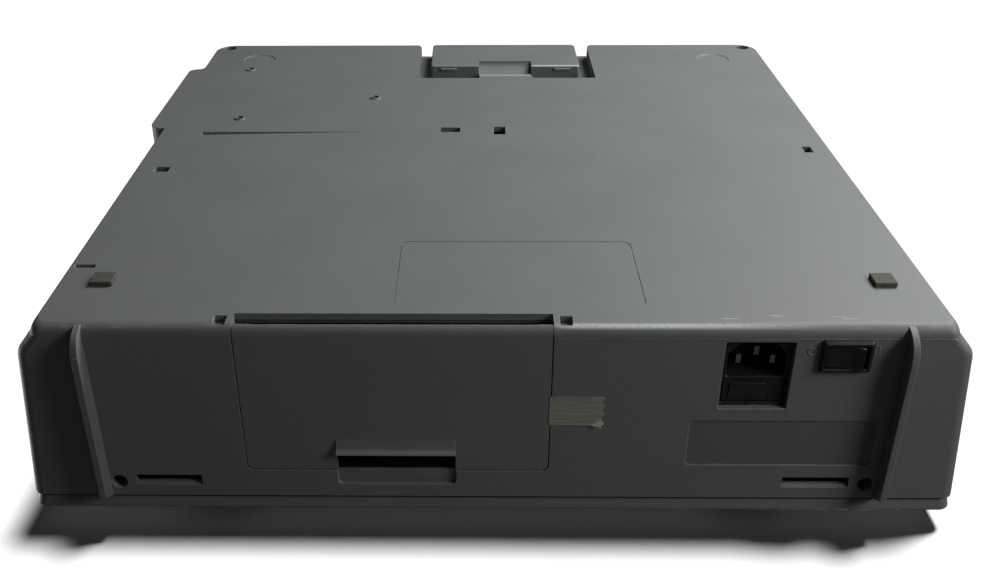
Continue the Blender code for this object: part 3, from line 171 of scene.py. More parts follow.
def soften(shape, edges, width, segments=3, affect="EDGES"):
    """Rounds edges, or corners of an outline."""
    bmesh.ops.bevel(
        shape,
        geom=edges,
        offset=width,
        offset_type="OFFSET",
        segments=segments,
        profile=0.5,
        affect=affect,
        material=-1,
        clamp_overlap=True,
    )


def add_outline(shape, points, radii=(), steps=6):
    """A flat face through the points, with each corner rounded by its radius."""
    known = set(shape.faces)
    verts = [shape.verts.new(point) for point in points]
    shape.faces.new(verts)
    for vert, radius in zip(verts, radii):
        if radius:
            soften(shape, [vert], radius, steps, "VERTICES")
    return next(face for face in shape.faces if face not in known)


def grow(shape, face, step):
    """Extrudes a face by a step and returns its new end."""
    walled = any(len(edge.link_faces) > 1 for edge in face.edges)
    grown = bmesh.ops.extrude_face_region(shape, geom=[face])["geom"]
    if walled:
        bmesh.ops.delete(shape, geom=[face], context="FACES_ONLY")
    verts = [item for item in grown if isinstance(item, bmesh.types.BMVert)]
    bmesh.ops.translate(shape, verts=verts, vec=Vector(step))
    return next(item for item in grown if isinstance(item, bmesh.types.BMFace))


def add_prism(shape, points, step, radii=(), steps=6):
    """An outline with rounded corners, extruded by a step. Returns its far end."""
    return grow(shape, add_outline(shape, points, radii, steps), step)


def add_slab(shape, x, profile, radii=(), steps=6):
    """A profile of Y and Z pairs, extruded between two places along X. Returns its far end."""
    return add_prism(shape, [(x[0], y, z) for y, z in profile], (x[1] - x[0], 0, 0), radii, steps)


def edges_behind(edges, y):
    """The edges that lie wholly behind a place along Y."""
    return [edge for edge in edges if min(vert.co.y for vert in edge.verts) > y]


def face_box(face):
    """Lowest and highest corner of a face or an edge."""
    corners = [vert.co for vert in face.verts]
    low = Vector([min(c[i] for c in corners) for i in range(3)])
    high = Vector([max(c[i] for c in corners) for i in range(3)])
    return low, high


def fit(shape, face, low, high):
    """Scales and moves a face so that it fills a new box."""
    old_low, old_high = face_box(face)
    low, high = Vector(low), Vector(high)
    scale = [1.0, 1.0, 1.0]
    for i in range(3):
        if old_high[i] - old_low[i] > 1e-7:
            scale[i] = (high[i] - low[i]) / (old_high[i] - old_low[i])
    centre = (old_low + old_high) / 2
    verts = list(face.verts)
    bmesh.ops.scale(shape, verts=verts, vec=scale, space=Matrix.Translation(-centre))
    bmesh.ops.translate(shape, verts=verts, vec=(low + high) / 2 - centre)


def raise_rings(shape, face, rings):
    """Grows a face through a stack of rings, each given by its two corners."""
    for low, high in rings:
        face = grow(shape, face, (0, 0, 0))
        fit(shape, face, low, high)


def widen(shape, face, margin):
    """Spreads a face by a margin on every side, in its own plane."""
    low, high = face_box(face)
    spread = Vector([margin if high[i] - low[i] > 1e-7 else 0.0 for i in range(3)])
    fit(shape, face, low - spread, high + spread)


def add_tunnel(shape, points, radii, way, length, lip):
    """A cutter from inside the wall out past its surface, with its mouth flared at the surface."""
    face = add_outline(shape, points, radii)
    way = Vector(way)
    face = grow(shape, face, way * (length - lip))
    face = grow(shape, face, way * 2 * lip)
    widen(shape, face, 2 * lip)


def rear_rectangle(x, z, y):
    """The corners of an upright rectangle that faces the rear."""
    return [(x[0], y, z[0]), (x[1], y, z[0]), (x[1], y, z[1]), (x[0], y, z[1])]


def flat_rectangle(x, y, z):
    """The corners of a level rectangle."""
    return [(x[0], y[0], z), (x[1], y[0], z), (x[1], y[1], z), (x[0], y[1], z)]


def around(centre, size):
    """The range of a size about its centre."""
    return centre - size / 2, centre + size / 2


def add_object(name, data):
    """A new object in the scene."""
    made = bpy.data.objects.new(name, data)
    bpy.context.scene.collection.objects.link(made)
    return made


def new_piece(name, shape):
    """Turns a shape into an object, with its faces turned outwards."""
    bmesh.ops.remove_doubles(shape, verts=shape.verts, dist=1e-7)
    bmesh.ops.recalc_face_normals(shape, faces=shape.faces)
    mesh = bpy.data.meshes.new(name)
    shape.to_mesh(mesh)
    shape.free()
    return add_object(name, mesh)


def single_solids(shape):
    """Copies of the shape, each holding one of its separate solids."""
    shape.verts.index_update()
    left = set(range(len(shape.verts)))
    shape.verts.ensure_lookup_table()
    while left:
        found = {left.pop()}
        reach = list(found)
        while reach:
            vert = shape.verts[reach.pop()]
            for edge in vert.link_edges:
                other = edge.other_vert(vert).index
                if other in left:
                    left.discard(other)
                    found.add(other)
                    reach.append(other)
        solid = shape.copy()
        bmesh.ops.delete(solid, geom=[v for v in solid.verts if v.index not in found], context="VERTS")
        yield solid
    shape.free()


def carve(piece, operation, shape):
    """Cuts each solid of a shape from the piece, or joins it, for good."""
    tools = [new_piece("tool", solid) for solid in single_solids(shape)]
    for tool in tools:
        modifier = piece.modifiers.new("carve", "BOOLEAN")
        modifier.operation = operation
        modifier.object = tool
        modifier.solver = "MANIFOLD"
    graph = bpy.context.evaluated_depsgraph_get()
    carved = bpy.data.meshes.new_from_object(piece.evaluated_get(graph))
    old = piece.data
    piece.modifiers.clear()
    piece.data = carved
    bpy.data.meshes.remove(old)
    for tool in tools:
        bpy.data.meshes.remove(tool.data)


def cut(piece, shape):
    carve(piece, "DIFFERENCE", shape)


def join(piece, shape):
    carve(piece, "UNION", shape)


def finish_piece(piece, material, body, slot, *nodes, sharp=33):
    """Shades a piece, gives it its material, hangs it from its body and hides the CAD nodes it stands for.
    The slot is not used.
    """
    shape = bmesh.new()
    shape.from_mesh(piece.data)
    bmesh.ops.remove_doubles(shape, verts=shape.verts, dist=2e-6)
    bmesh.ops.dissolve_degenerate(shape, edges=shape.edges, dist=1e-6)
    shape.to_mesh(piece.data)
    shape.free()
    piece.data.materials.clear()
    piece.data.materials.append(material)
    piece.data.shade_smooth()
    piece.data.set_sharp_from_angle(angle=radians(sharp))
    level = piece.modifiers.new("level_normals", "WEIGHTED_NORMAL")
    level.keep_sharp = True
    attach(piece, body)
    if nodes:
        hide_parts(*nodes)
    return piece


# Node helpers


def put(tree, kind, inputs=None, **settings):
    """Adds a node, sets its options, and fills its inputs with values or links."""
    made = tree.nodes.new(kind)
    for key, value in settings.items():
        setattr(made, key, value)
    for key, value in (inputs or {}).items():
        if isinstance(value, bpy.types.NodeSocket):
            tree.links.new(value, made.inputs[key])
        else:
            made.inputs[key].default_value = value
    return made


def maths(tree, operation, a, b=None, clamp=False):
    made = put(tree, "ShaderNodeMath", {0: a}, operation=operation, use_clamp=clamp)
    if isinstance(b, bpy.types.NodeSocket):
        tree.links.new(b, made.inputs[1])
    elif b is not None:
        made.inputs[1].default_value = b
    return made.outputs[0]


def blend_colour(tree, share, first, second):
    """The first colour where the share is 0, the second where it is 1. Either may be a link."""
    made = put(tree, "ShaderNodeMix", {0: share}, data_type="RGBA", blend_type="MIX")
    for key, value in ((6, first), (7, second)):
        if isinstance(value, bpy.types.NodeSocket):
            tree.links.new(value, made.inputs[key])
        else:
            made.inputs[key].default_value = (*value, 1.0)
    return made.outputs[2]


def span(tree, value, low, high, out_low=0.0, out_high=1.0):
    """Maps a range of a value smoothly to another range."""
    made = put(
        tree,
        "ShaderNodeMapRange",
        {"Value": value, "From Min": low, "From Max": high, "To Min": out_low, "To Max": out_high},
        interpolation_type="SMOOTHSTEP",
    )
    return made.outputs["Result"]


def noise(tree, place, scale, detail=3.0, roughness=0.55):
    made = put(
        tree,
        "ShaderNodeTexNoise",
        {"Vector": place, "Scale": scale, "Detail": detail, "Roughness": roughness},
    )
    return made.outputs["Fac"]


def stretched(tree, place, scale, turn=(0, 0, 0)):
    made = put(tree, "ShaderNodeMapping", {"Vector": place, "Rotation": turn, "Scale": scale})
    return made.outputs["Vector"]


def new_group(name, inputs, outputs):
    """An empty shader group with number sockets. Returns it with its two end nodes."""
    group = bpy.data.node_groups.new(name, "ShaderNodeTree")
    for label, value in inputs:
        socket = group.interface.new_socket(label, in_out="INPUT", socket_type="NodeSocketFloat")
        socket.default_value = value
    for label in outputs:
        group.interface.new_socket(label, in_out="OUTPUT", socket_type="NodeSocketFloat")
    return group, group.nodes.new("NodeGroupInput"), group.nodes.new("NodeGroupOutput")


def grain_group():
    """Moulded grain: a fine pebbled height, and a slow cloudiness of the surface."""
    group, ins, outs = new_group(
        "moulded_grain", (("Grain", 1500.0), ("Cloud", 22.0)), ("Height", "Cloud", "Speck")
    )
    place = put(group, "ShaderNodeTexCoord").outputs["Object"]
    pebble = put(
        group, "ShaderNodeTexVoronoi", {"Vector": place, "Scale": ins.outputs["Grain"]}, feature="SMOOTH_F1"
    ).outputs["Distance"]
    fine = put(
        group, "ShaderNodeTexNoise", {"Vector": place, "Scale": ins.outputs["Grain"], "Detail": 3.0}
    ).outputs["Fac"]
    cloud = put(
        group, "ShaderNodeTexNoise", {"Vector": place, "Scale": ins.outputs["Cloud"], "Detail": 5.0}
    ).outputs["Fac"]
    group.links.new(maths(group, "ADD", pebble, fine), outs.inputs["Height"])
    group.links.new(span(group, cloud, 0.3, 0.7), outs.inputs["Cloud"])
    group.links.new(fine, outs.inputs["Speck"])
    return group


def rub_group():
    """Edge rub: where the surface turns sharply, broken up by noise."""
    group, ins, outs = new_group("edge_rub", (("Reach", 0.0008), ("Amount", 0.5)), ("Rub",))
    shading = put(group, "ShaderNodeNewGeometry").outputs["Normal"]
    rounded = put(group, "ShaderNodeBevel", {"Radius": ins.outputs["Reach"]}, samples=6).outputs["Normal"]
    turn = put(group, "ShaderNodeVectorMath", {0: shading, 1: rounded}, operation="DOT_PRODUCT")
    edge = span(group, turn.outputs["Value"], 0.998, 0.93)
    place = put(group, "ShaderNodeTexCoord").outputs["Object"]
    broken = span(group, noise(group, place, 160.0, 4.0), 0.36, 0.66)
    worn = maths(group, "MULTIPLY", edge, broken)
    group.links.new(maths(group, "MULTIPLY", worn, ins.outputs["Amount"], True), outs.inputs["Rub"])
    return group


def scratch_group():
    """Hairline scratches in two directions, in patches."""
    group, ins, outs = new_group("hair_scratches", (("Amount", 0.5),), ("Scratch",))
    place = put(group, "ShaderNodeTexCoord").outputs["Object"]
    lines = []
    for turn, scale in (((0, 0, 0.35), (9.0, 520.0, 90.0)), ((0, 0, -0.6), (480.0, 7.0, 80.0))):
        lines.append(span(group, noise(group, stretched(group, place, scale, turn), 1.0, 2.0), 0.70, 0.76))
    patch = span(group, noise(group, place, 26.0, 2.0), 0.50, 0.70)
    both = maths(group, "MAXIMUM", lines[0], lines[1])
    seen = maths(group, "MULTIPLY", maths(group, "MULTIPLY", both, patch), ins.outputs["Amount"], True)
    group.links.new(seen, outs.inputs["Scratch"])
    return group


def use_group(tree, group, **values):
    made = tree.nodes.new("ShaderNodeGroup")
    made.node_tree = group
    for key, value in values.items():
        made.inputs[key].default_value = value
    return made.outputs


def new_material(name):
    made = bpy.data.materials.new(name)
    made.use_nodes = True
    return made, made.node_tree, made.node_tree.nodes["Principled BSDF"]


def add_bump(tree, shader, height, strength, distance):
    bump = put(tree, "ShaderNodeBump", {"Height": height, "Strength": strength, "Distance": distance})
    tree.links.new(bump.outputs["Normal"], shader.inputs["Normal"])


GRAIN = grain_group()
RUB = rub_group()
SCRATCH = scratch_group()


def charcoal_plastic(name, tone, rub=0.5, scratch=0.35, marks=None):
    """Grained charcoal moulding, rubbed paler on its edges, with faint clouds and scratches."""
    made, tree, shader = new_material(name)
    grain = use_group(tree, GRAIN, Grain=1250.0, Cloud=20.0)
    worn = use_group(tree, RUB, Reach=0.0007, Amount=rub)["Rub"]
    lines = use_group(tree, SCRATCH, Amount=scratch)["Scratch"]
    tone = Vector(tone)
    base = blend_colour(tree, grain["Cloud"], tone * 0.975, tone * 1.025)
    base = blend_colour(tree, span(tree, grain["Speck"], 0.3, 0.7, 0.0, 0.45), base, tone * 0.78)
    base = blend_colour(tree, lines, base, tone * 1.45)
    base = blend_colour(tree, worn, base, tone * 1.75)
    if marks:
        base = marks(tree, base)
    tree.links.new(base, shader.inputs["Base Color"])
    tree.links.new(span(tree, grain["Cloud"], 0.0, 1.0, 0.54, 0.58), shader.inputs["Roughness"])
    shader.inputs["Specular IOR Level"].default_value = 0.45
    add_bump(tree, shader, grain["Height"], 0.16, 0.00012)
    return made


def surface_place(tree):
    """The surface's Object coordinates, whole and along each axis."""
    place = put(tree, "ShaderNodeTexCoord").outputs["Object"]
    return place, put(tree, "ShaderNodeSeparateXYZ", {"Vector": place}).outputs


def box_mask(tree, parts, soft, **sides):
    """A mask of one inside a box, given by its ranges along X, Y and Z, that fades out past its sides."""
    share = 1.0
    for axis, (low, high) in sides.items():
        inside = maths(tree, "MULTIPLY", span(tree, parts[axis], low - soft, low), share)
        share = maths(tree, "MULTIPLY", span(tree, parts[axis], high + soft, high), inside)
    return share


def edge_scuffs_and_highlight(tree, base, place, parts):
    """Pale scuffs and a painted highlight along the rounded edge between underside and rear panel, and
    scratches beside it.
    """
    off_y = maths(tree, "POWER", maths(tree, "SUBTRACT", parts["Y"], REAR - 0.0022), 2.0)
    off_z = maths(tree, "POWER", maths(tree, "SUBTRACT", parts["Z"], UNDER + 0.0008), 2.0)
    band = span(tree, maths(tree, "SQRT", maths(tree, "ADD", off_y, off_z)), 0.0019, 0.0003)
    near_door, far_end = span(tree, parts["X"], 0.020, 0.034), span(tree, parts["X"], 0.150, 0.070)
    along = maths(tree, "MULTIPLY", near_door, far_end)
    streak = noise(tree, stretched(tree, place, (520.0, 900.0, 900.0)), 1.0, 4.0, 0.7)
    streak = span(tree, streak, 0.30, 0.60, 0.62, 1.0)
    faint = noise(tree, stretched(tree, place, (60.0, 300.0, 300.0)), 1.0, 3.0)
    faint = span(tree, faint, 0.48, 0.72, 0.0, 0.22)
    # The pale band along the rounded edge is partly scuffing and partly a painted highlight
    share = maths(tree, "MAXIMUM", maths(tree, "MULTIPLY", along, streak), faint)
    scuffed_and_lit = maths(tree, "MULTIPLY", maths(tree, "MULTIPLY", band, share), 0.9)
    base = blend_colour(tree, scuffed_and_lit, base, (0.68, 0.69, 0.70))
    beside = box_mask(tree, parts, 0.003, X=(0.095, 0.155), Y=(REAR - 0.009, REAR - 0.0065))
    swept = noise(tree, stretched(tree, place, (55.0, 1500.0, 10.0), (0, 0, 0.42)), 1.0, 1.0)
    lines = maths(tree, "MULTIPLY", beside, span(tree, swept, 0.66, 0.70))
    return blend_colour(tree, lines, base, (0.52, 0.54, 0.55))


def housing_marks(tree, base):
    """Marks of the housing: a scuffed edge with a painted highlight, a painted highlight in the finger dip,
    and painted shade in the door's well and along the seam.
    """
    place, parts = surface_place(tree)
    base = edge_scuffs_and_highlight(tree, base, place, parts)
    # Painted highlight: the finger dip is lightened to stand in for the light it catches
    dip = (UNDER + 0.0012, UNDER + 0.0070)
    worn = box_mask(tree, parts, 0.0010, X=SCOOP, Y=(HANDLE_REAR, RECESS_BACK), Z=dip)
    base = blend_colour(tree, worn, base, (0.310, 0.318, 0.305))
    # Painted shade in the door's well behind the pull
    depth = (ahead(0.020), ahead(0.0022))
    shade_mask = box_mask(tree, parts, 0.0006, X=PULL_WELL, Y=depth, Z=(up(0.0640), up(0.0733)))
    base = blend_colour(tree, shade_mask, base, PAINTED_SHADE)
    inset = 0.0005
    across = (LABEL_X[0] + inset, LABEL_X[1] - inset)
    tall = (LABEL_Z[0] + inset, LABEL_Z[1] - inset)
    field = box_mask(tree, parts, 0.0003, X=across, Y=(ahead(0.0008), ahead(0.0004)), Z=tall)
    base = blend_colour(tree, field, base, (0.135, 0.141, 0.140))
    # Painted shade along the seam under the cover
    seam = span(tree, parts["Z"], SEAM - 0.0006, SEAM - 0.0003)
    return blend_colour(tree, seam, base, PAINTED_SHADE)


def cover_marks(tree, base):
    """Painted shade along the lower rim of the cover, where it meets the housing."""
    _, parts = surface_place(tree)
    # Painted shade along the cover's lower rim
    shade_mask = span(tree, parts["Z"], COVER_LOW + 0.0006, COVER_LOW + 0.0002)
    return blend_colour(tree, shade_mask, base, PAINTED_SHADE)


def door_lip_highlight(tree, base):
    """The lip of the pull, lightened with a painted highlight."""
    _, parts = surface_place(tree)
    # Painted highlight on the top of the pull's lip
    lit_lip = span(tree, parts["Y"], REAR + 0.0009, REAR + 0.0026, 0.0, 0.7)
    return blend_colour(tree, lit_lip, base, (0.34, 0.35, 0.355))


def handle_marks(tree, base):
    """The rear edge of the handle, paler towards one end: pale wear with a painted highlight."""
    _, parts = surface_place(tree)
    # Partly edge wear, partly a painted highlight on the handle's rear edge
    edge = box_mask(tree, parts, 0.0005, Y=(HANDLE_REAR - 0.0008, HANDLE_REAR), Z=(UNDER, UNDER + 0.0009))
    worn = maths(tree, "MULTIPLY", edge, span(tree, parts["X"], 0.010, 0.040, 0.15, 0.8))
    return blend_colour(tree, worn, base, (0.62, 0.63, 0.64))


def plain_finish(name, tone, roughness, metallic=0.0, spread=0.12, scale=60.0, fine=900.0, bump=0.1, rub=0.0):
    """A finish with a cloudy tone, uneven gloss and a fine bump."""
    made, tree, shader = new_material(name)
    grain = use_group(tree, GRAIN, Grain=fine, Cloud=scale)
    tone = Vector(tone)
    base = blend_colour(tree, grain["Cloud"], tone * (1 - spread), tone * (1 + spread))
    if rub:
        worn = use_group(tree, RUB, Reach=0.0005, Amount=rub)["Rub"]
        base = blend_colour(tree, worn, base, tone * 2.2 + Vector((0.03, 0.03, 0.03)))
    tree.links.new(base, shader.inputs["Base Color"])
    rough = span(tree, grain["Cloud"], 0.0, 1.0, roughness * 0.85, min(1.0, roughness * 1.2))
    tree.links.new(rough, shader.inputs["Roughness"])
    shader.inputs["Metallic"].default_value = metallic
    add_bump(tree, shader, grain["Height"], bump, 0.0001)
    return made


housing_plastic = charcoal_plastic("housing_plastic", CHARCOAL, 0.5, 0.4, housing_marks)
cover_plastic = charcoal_plastic("cover_plastic", CHARCOAL, 0.5, 0.3, cover_marks)
door_plastic = charcoal_plastic("door_plastic", CHARCOAL, 0.45, 0.25, door_lip_highlight)
lid_plastic = charcoal_plastic("lid_plastic", CHARCOAL, 0.5, 0.45)
handle_plastic = charcoal_plastic("handle_plastic", CHARCOAL, 0.6, 0.4, handle_marks)
black_plastic = plain_finish("black_plastic", (0.016, 0.016, 0.017), 0.42, rub=0.2)
black_gloss = plain_finish("black_gloss", (0.018, 0.018, 0.019), 0.26, bump=0.04, rub=0.4)
liner_plastic = plain_finish("liner_plastic", (0.075, 0.077, 0.078), 0.6)
foot_rubber = plain_finish(
    "foot_rubber", (0.082, 0.084, 0.066), 0.85, spread=0.25, scale=420.0, fine=1600.0, bump=0.35
)
belt_rubber = plain_finish("belt_rubber", (0.025, 0.025, 0.025), 0.75, fine=1400.0, bump=0.3)
zinc_steel = plain_finish("zinc_steel", (0.56, 0.56, 0.55), 0.38, 1.0, 0.08, 45.0, 700.0, 0.05)
rod_steel = plain_finish("rod_steel", (0.66, 0.66, 0.67), 0.2, 1.0, 0.05, 30.0, 2200.0, 0.03)
dark_steel = plain_finish("dark_steel", (0.13, 0.13, 0.13), 0.45, 0.9, 0.2, 300.0, 1500.0, 0.15)
pin_metal = plain_finish("pin_metal", (0.40, 0.38, 0.33), 0.32, 1.0, 0.1, 200.0, 1200.0, 0.05)
white_plastic = plain_finish("white_plastic", (0.72, 0.72, 0.68), 0.5, 0.0, 0.05)
board_green = plain_finish("board_green", (0.045, 0.18, 0.085), 0.45, 0.0, 0.25, 180.0, 500.0, 0.1)
mirror_glass = plain_finish("mirror_glass", (0.86, 0.87, 0.88), 0.04, 1.0, 0.02, 20.0, 100.0, 0.0)
lamp_glass = plain_finish("lamp_glass", (0.86, 0.86, 0.82), 0.22, 0.0, 0.03, 60.0, 400.0, 0.02)
motor_can = plain_finish("motor_can", (0.2, 0.2, 0.21), 0.4, 0.8, 0.15, 80.0, 900.0, 0.1)


def platen_glass_material():
    """Clear glass with a faint smear."""
    made, tree, shader = new_material("platen_glass")
    grain = use_group(tree, GRAIN, Grain=400.0, Cloud=9.0)
    smear = span(tree, grain["Cloud"], 0.35, 1.0, 0.02, 0.12)
    tree.links.new(smear, shader.inputs["Roughness"])
    base = blend_colour(tree, grain["Cloud"], (0.90, 0.96, 0.95), (0.95, 0.98, 0.98))
    tree.links.new(base, shader.inputs["Base Color"])
    shader.inputs["Transmission Weight"].default_value = 1.0
    shader.inputs["IOR"].default_value = 1.5
    return made


platen_material = platen_glass_material()
pad_vinyl = plain_finish("pad_vinyl", (0.80, 0.80, 0.77), 0.6, 0.0, 0.03, 25.0, 700.0, 0.2)
mark_paint = plain_finish("mark_paint", (0.30, 0.31, 0.31), 0.5, 0.0, 0.1, 400.0)


def sticker_material():
    """Old paper: olive grey, streaked along its length and paler on its lifted corner."""
    made, tree, shader = new_material("sticker_paper")
    place, parts = surface_place(tree)
    streak = span(tree, noise(tree, stretched(tree, place, (60.0, 60.0, 900.0)), 1.0, 4.0), 0.40, 0.68)
    base = blend_colour(tree, streak, (0.27, 0.275, 0.225), (0.37, 0.37, 0.315))
    lifted = span(tree, parts["Y"], REAR + 0.0002, REAR + 0.0008)
    base = blend_colour(tree, lifted, base, (0.62, 0.62, 0.56))
    tree.links.new(base, shader.inputs["Base Color"])
    shader.inputs["Roughness"].default_value = 0.6
    add_bump(tree, shader, streak, 0.2, 0.0001)
    return made


sticker_paper = sticker_material()


# Housing


def housing_block():
    """The tub of the housing: rounded below, stepped out at the ledge, leaning out to the seam."""
    shape = bmesh.new()
    face = add_outline(
        shape,
        flat_rectangle((-BASE_HALF + SIDE_R, BASE_HALF - SIDE_R), (FRONT + EDGE_R, REAR - EDGE_R), UNDER),
        (0.012, 0.012, 0.005, 0.005),
        8,
    )
    outside = []
    for i in range(1, 11):
        turn = radians(9 * i)
        lift = 1 - cos(turn)
        draw = 1 - sin(turn)
        outside.append((EDGE_R * lift, BASE_HALF - SIDE_R * draw + SIDE_R / 2 * lift, EDGE_R * draw))
    outside += [(0.0062, 0.1899, 0), (0.0108, 0.1940, 0), (0.0122, 0.1951, 0), (0.0138, 0.1959, 0)]
    outside += [(0.0154, 0.1963, 0), (0.0172, LEDGE_HALF, 0), (0.0300, 0.1977, 0), (0.0876, 0.20296, 0)]
    outside += [(0.0878, 0.2027, 0.0003), (0.0880, 0.2021, 0.0009)]
    inside = [(0.0880, SEAM_HALF - WALL, WALL), (0.0172, LEDGE_HALF - WALL, WALL)]
    inside += [(EDGE_R, BASE_HALF - WALL, WALL), (WALL, BASE_HALF - WALL - SIDE_R, WALL + SIDE_R)]
    rings = [
        ((-half, FRONT + draw, up(height)), (half, REAR - draw, up(height)))
        for height, half, draw in outside + inside
    ]
    raise_rings(shape, face, rings)
    return new_piece("housing_shell", shape)


def add_ribs(shape):
    """A fin on each side of the rear panel, with a round crest that runs out on the underside."""
    half, inner, tip = 0.0015, REAR - 0.0015, REAR + 0.0080
    for side in SIDES:
        x = side * 0.1683
        profile = [
            (inner, up(0.0060)),
            (REAR - 0.0042, up(0.0004)),
            (REAR + 0.0005, up(0.0011)),
            (REAR + 0.0048, up(0.0038)),
            (REAR + 0.0072, up(0.0080)),
            (tip, up(0.0135)),
            (tip, up(0.0830)),
            (REAR - 0.0001, SEAM - 0.0001),
            (inner, SEAM - 0.0001),
        ]
        add_slab(shape, (x - half, x + half), profile, (0, 0, 0.0025, 0.0022, 0.0022, 0.0035), 5)
        crest = []
        for edge in shape.edges:
            a, b = (vert.co for vert in edge.verts)
            flank = abs(a.x - b.x) < 1e-7 and abs(abs(a.x - x) - half) < 1e-6
            buried = max(abs(a.y - inner), abs(b.y - inner)) < 1e-6 or min(a.z, b.z) > SEAM - 0.001
            if flank and not buried:
                crest.append(edge)
        soften(shape, crest, 0.0011, 4)


def add_bulge(shape):
    """The swelling at the left edge, with an S-shaped front end and a rounded rear end."""
    outer, root, inner = -0.1957, -0.1868, -0.1800
    y0, y1 = FRONT + 0.0560, FRONT + 0.1625
    tall = 0.0171
    plan = [(inner, y0 - 0.0050), (root, y0 - 0.0050), (root, y0), (outer, y0), (outer, y1), (inner, y1)]
    points = [(x, y, up(tall)) for x, y in plan]
    low = add_prism(shape, points, (0, 0, -tall), (0, 0, 0.0040, 0.0060, 0.0075), 8)
    rim = []
    for edge in low.edges:
        corner_low, _ = face_box(edge)
        if corner_low.x < -0.1885 or corner_low.y > y1 - 0.001:
            rim.append(edge)
    soften(shape, rim, 0.0052, 6)


def case_rod(shape, side, low, high, *radii):
    """A rod or cone on the axis of a front case screw."""
    x, y = side * CASE_SCREW[0], CASE_SCREW[1]
    add_rod(shape, (x, y, low), (x, y, high), *radii)


def rear_rod(shape, side, near, far, *radii):
    """A rod or cone on the axis of a rear case screw."""
    x, z = side * REAR_SCREW[0], REAR_SCREW[1]
    add_rod(shape, (x, near, z), (x, far, z), *radii)


def shell_additions():
    """Screw posts, hinge blocks, the walls round the recesses, and the bulge."""
    shape = bmesh.new()
    for side in SIDES:
        case_rod(shape, side, up(0.0015), up(0.0780), 0.0068)
        rear_rod(shape, side, ahead(0.0115), ahead(0.0015), 0.0052)
    for edge, way in zip(DOOR_X, SIDES):
        x = sorted((edge + way * RUN, edge + way * 0.0110))
        add_block(shape, x, (ahead(0.0104), ahead(0.0015)), (up(0.0015), up(0.0100)))
    add_block(shape, PULL_WELL, (ahead(0.0080), ahead(0.0015)), (up(0.0733), up(0.0840)))
    for x, y in CHASSIS_SCREWS:
        add_rod(shape, (x, y, up(-0.0009)), (x, y, up(0.0015)), 0.0028, 0.0040)
    add_box(
        shape,
        (HANDLE_X[0] - 0.0124, FRONT + 0.0015, up(0.0015)),
        (HANDLE_X[1] + 0.0124, RECESS_BACK + 0.0034, POCKET_TOP + 0.0034),
    )
    add_bulge(shape)
    return shape


def shell_openings():
    """Openings through the wall, each with a slightly broken edge at the surface."""
    shape = bmesh.new()
    back = (0, 1, 0)
    add_box(shape, (-0.1935, FRONT + 0.0590, FLOOR), (-0.1780, FRONT + 0.1550, up(0.0200)))
    door_x = (DOOR_X[0] - RUN, DOOR_X[1] + RUN)
    door = rear_rectangle(door_x, (UNDER - WALL, DOOR_TOP + 2 * GAP), ahead(0.0104))
    add_tunnel(shape, door, (0, 0, 0.0033, 0.0033), back, 0.0104, 0.00025)
    inlet = rear_rectangle(around(INLET_X, 0.0282), INLET_Z, ahead(0.0060))
    add_tunnel(shape, inlet, (0.0008,) * 4, back, 0.0060, 0.0003)
    switch = rear_rectangle(around(SWITCH_X, 0.0196), around(SWITCH_Z, 0.0136), ahead(0.0060))
    add_tunnel(shape, switch, (), back, 0.0060, 0.0001)
    for side in SIDES:
        x = around(side * LATCH_X, 0.0290)
        profile = [(ahead(0.0060), up(0.0765)), (REAR + 0.0010, up(0.0762)), (REAR + 0.0010, up(0.0828))]
        profile += [(ahead(0.0014), up(0.0808)), (ahead(0.0060), up(0.0808))]
        add_slab(shape, x, profile)
        lip = rear_rectangle((x[0] + 0.0006, x[1] - 0.0006), (up(0.0767), up(0.0808)), ahead(0.0024))
        add_tunnel(shape, lip, (), back, 0.0024, 0.0003)
    for x, y, width, length in WINDOWS:
        points = flat_rectangle(around(x, width), around(y, length), FLOOR + 0.0015)
        add_tunnel(shape, points, (0.0004,) * 4, (0, 0, -1), 0.0045, 0.0002)
    return shape


def shell_details():
    """Shallow features: label field, finger recess, seats, groove, hinge holes and screw sinks."""
    shape = bmesh.new()
    back = (0, 1, 0)
    field = rear_rectangle(LABEL_X, LABEL_Z, ahead(0.0006))
    add_tunnel(shape, field, (0.0025,) * 4, back, 0.0006, 0.00025)
    finger = rear_rectangle(PULL_X, (DOOR_TOP - 0.0006, up(0.0808)), ahead(0.0016))
    add_tunnel(shape, finger, (0, 0, 0.0022, 0.0022), back, 0.0016, 0.0003)
    for side in SIDES:
        seat = (side * 0.1533, FRONT + 0.0357)
        add_rod(shape, (*seat, up(-0.0008)), (*seat, up(0.0005)), 0.0118, 0.0100, 48)
    near, far = ahead(0.2040), ahead(0.2118)
    groove = [(far, up(0.0018)), (far, up(-0.0010)), (near, up(-0.0010)), (near, up(-0.0002))]
    end = add_prism(shape, [(-0.163, y, z) for y, z in groove], (0.113, 0, 0))
    bmesh.ops.translate(shape, verts=list(end.verts), vec=(0, 0, -0.0021))
    for edge, way in zip(DOOR_X, SIDES):
        x = sorted((edge + way * 0.0030, edge + way * 0.0080))
        points = flat_rectangle(x, (ahead(0.0087), ahead(0.0024)), up(0.0030))
        add_tunnel(shape, points, (0.0003,) * 4, (0, 0, -1), 0.0030, 0.0002)
    for x, y in CHASSIS_SCREWS:
        add_rod(shape, (x, y, up(-0.003)), (x, y, up(0.0013)), 0.0022)
        add_rod(shape, (x, y, up(-0.003)), (x, y, up(0.0090)), SCREW_BORE)
    return shape


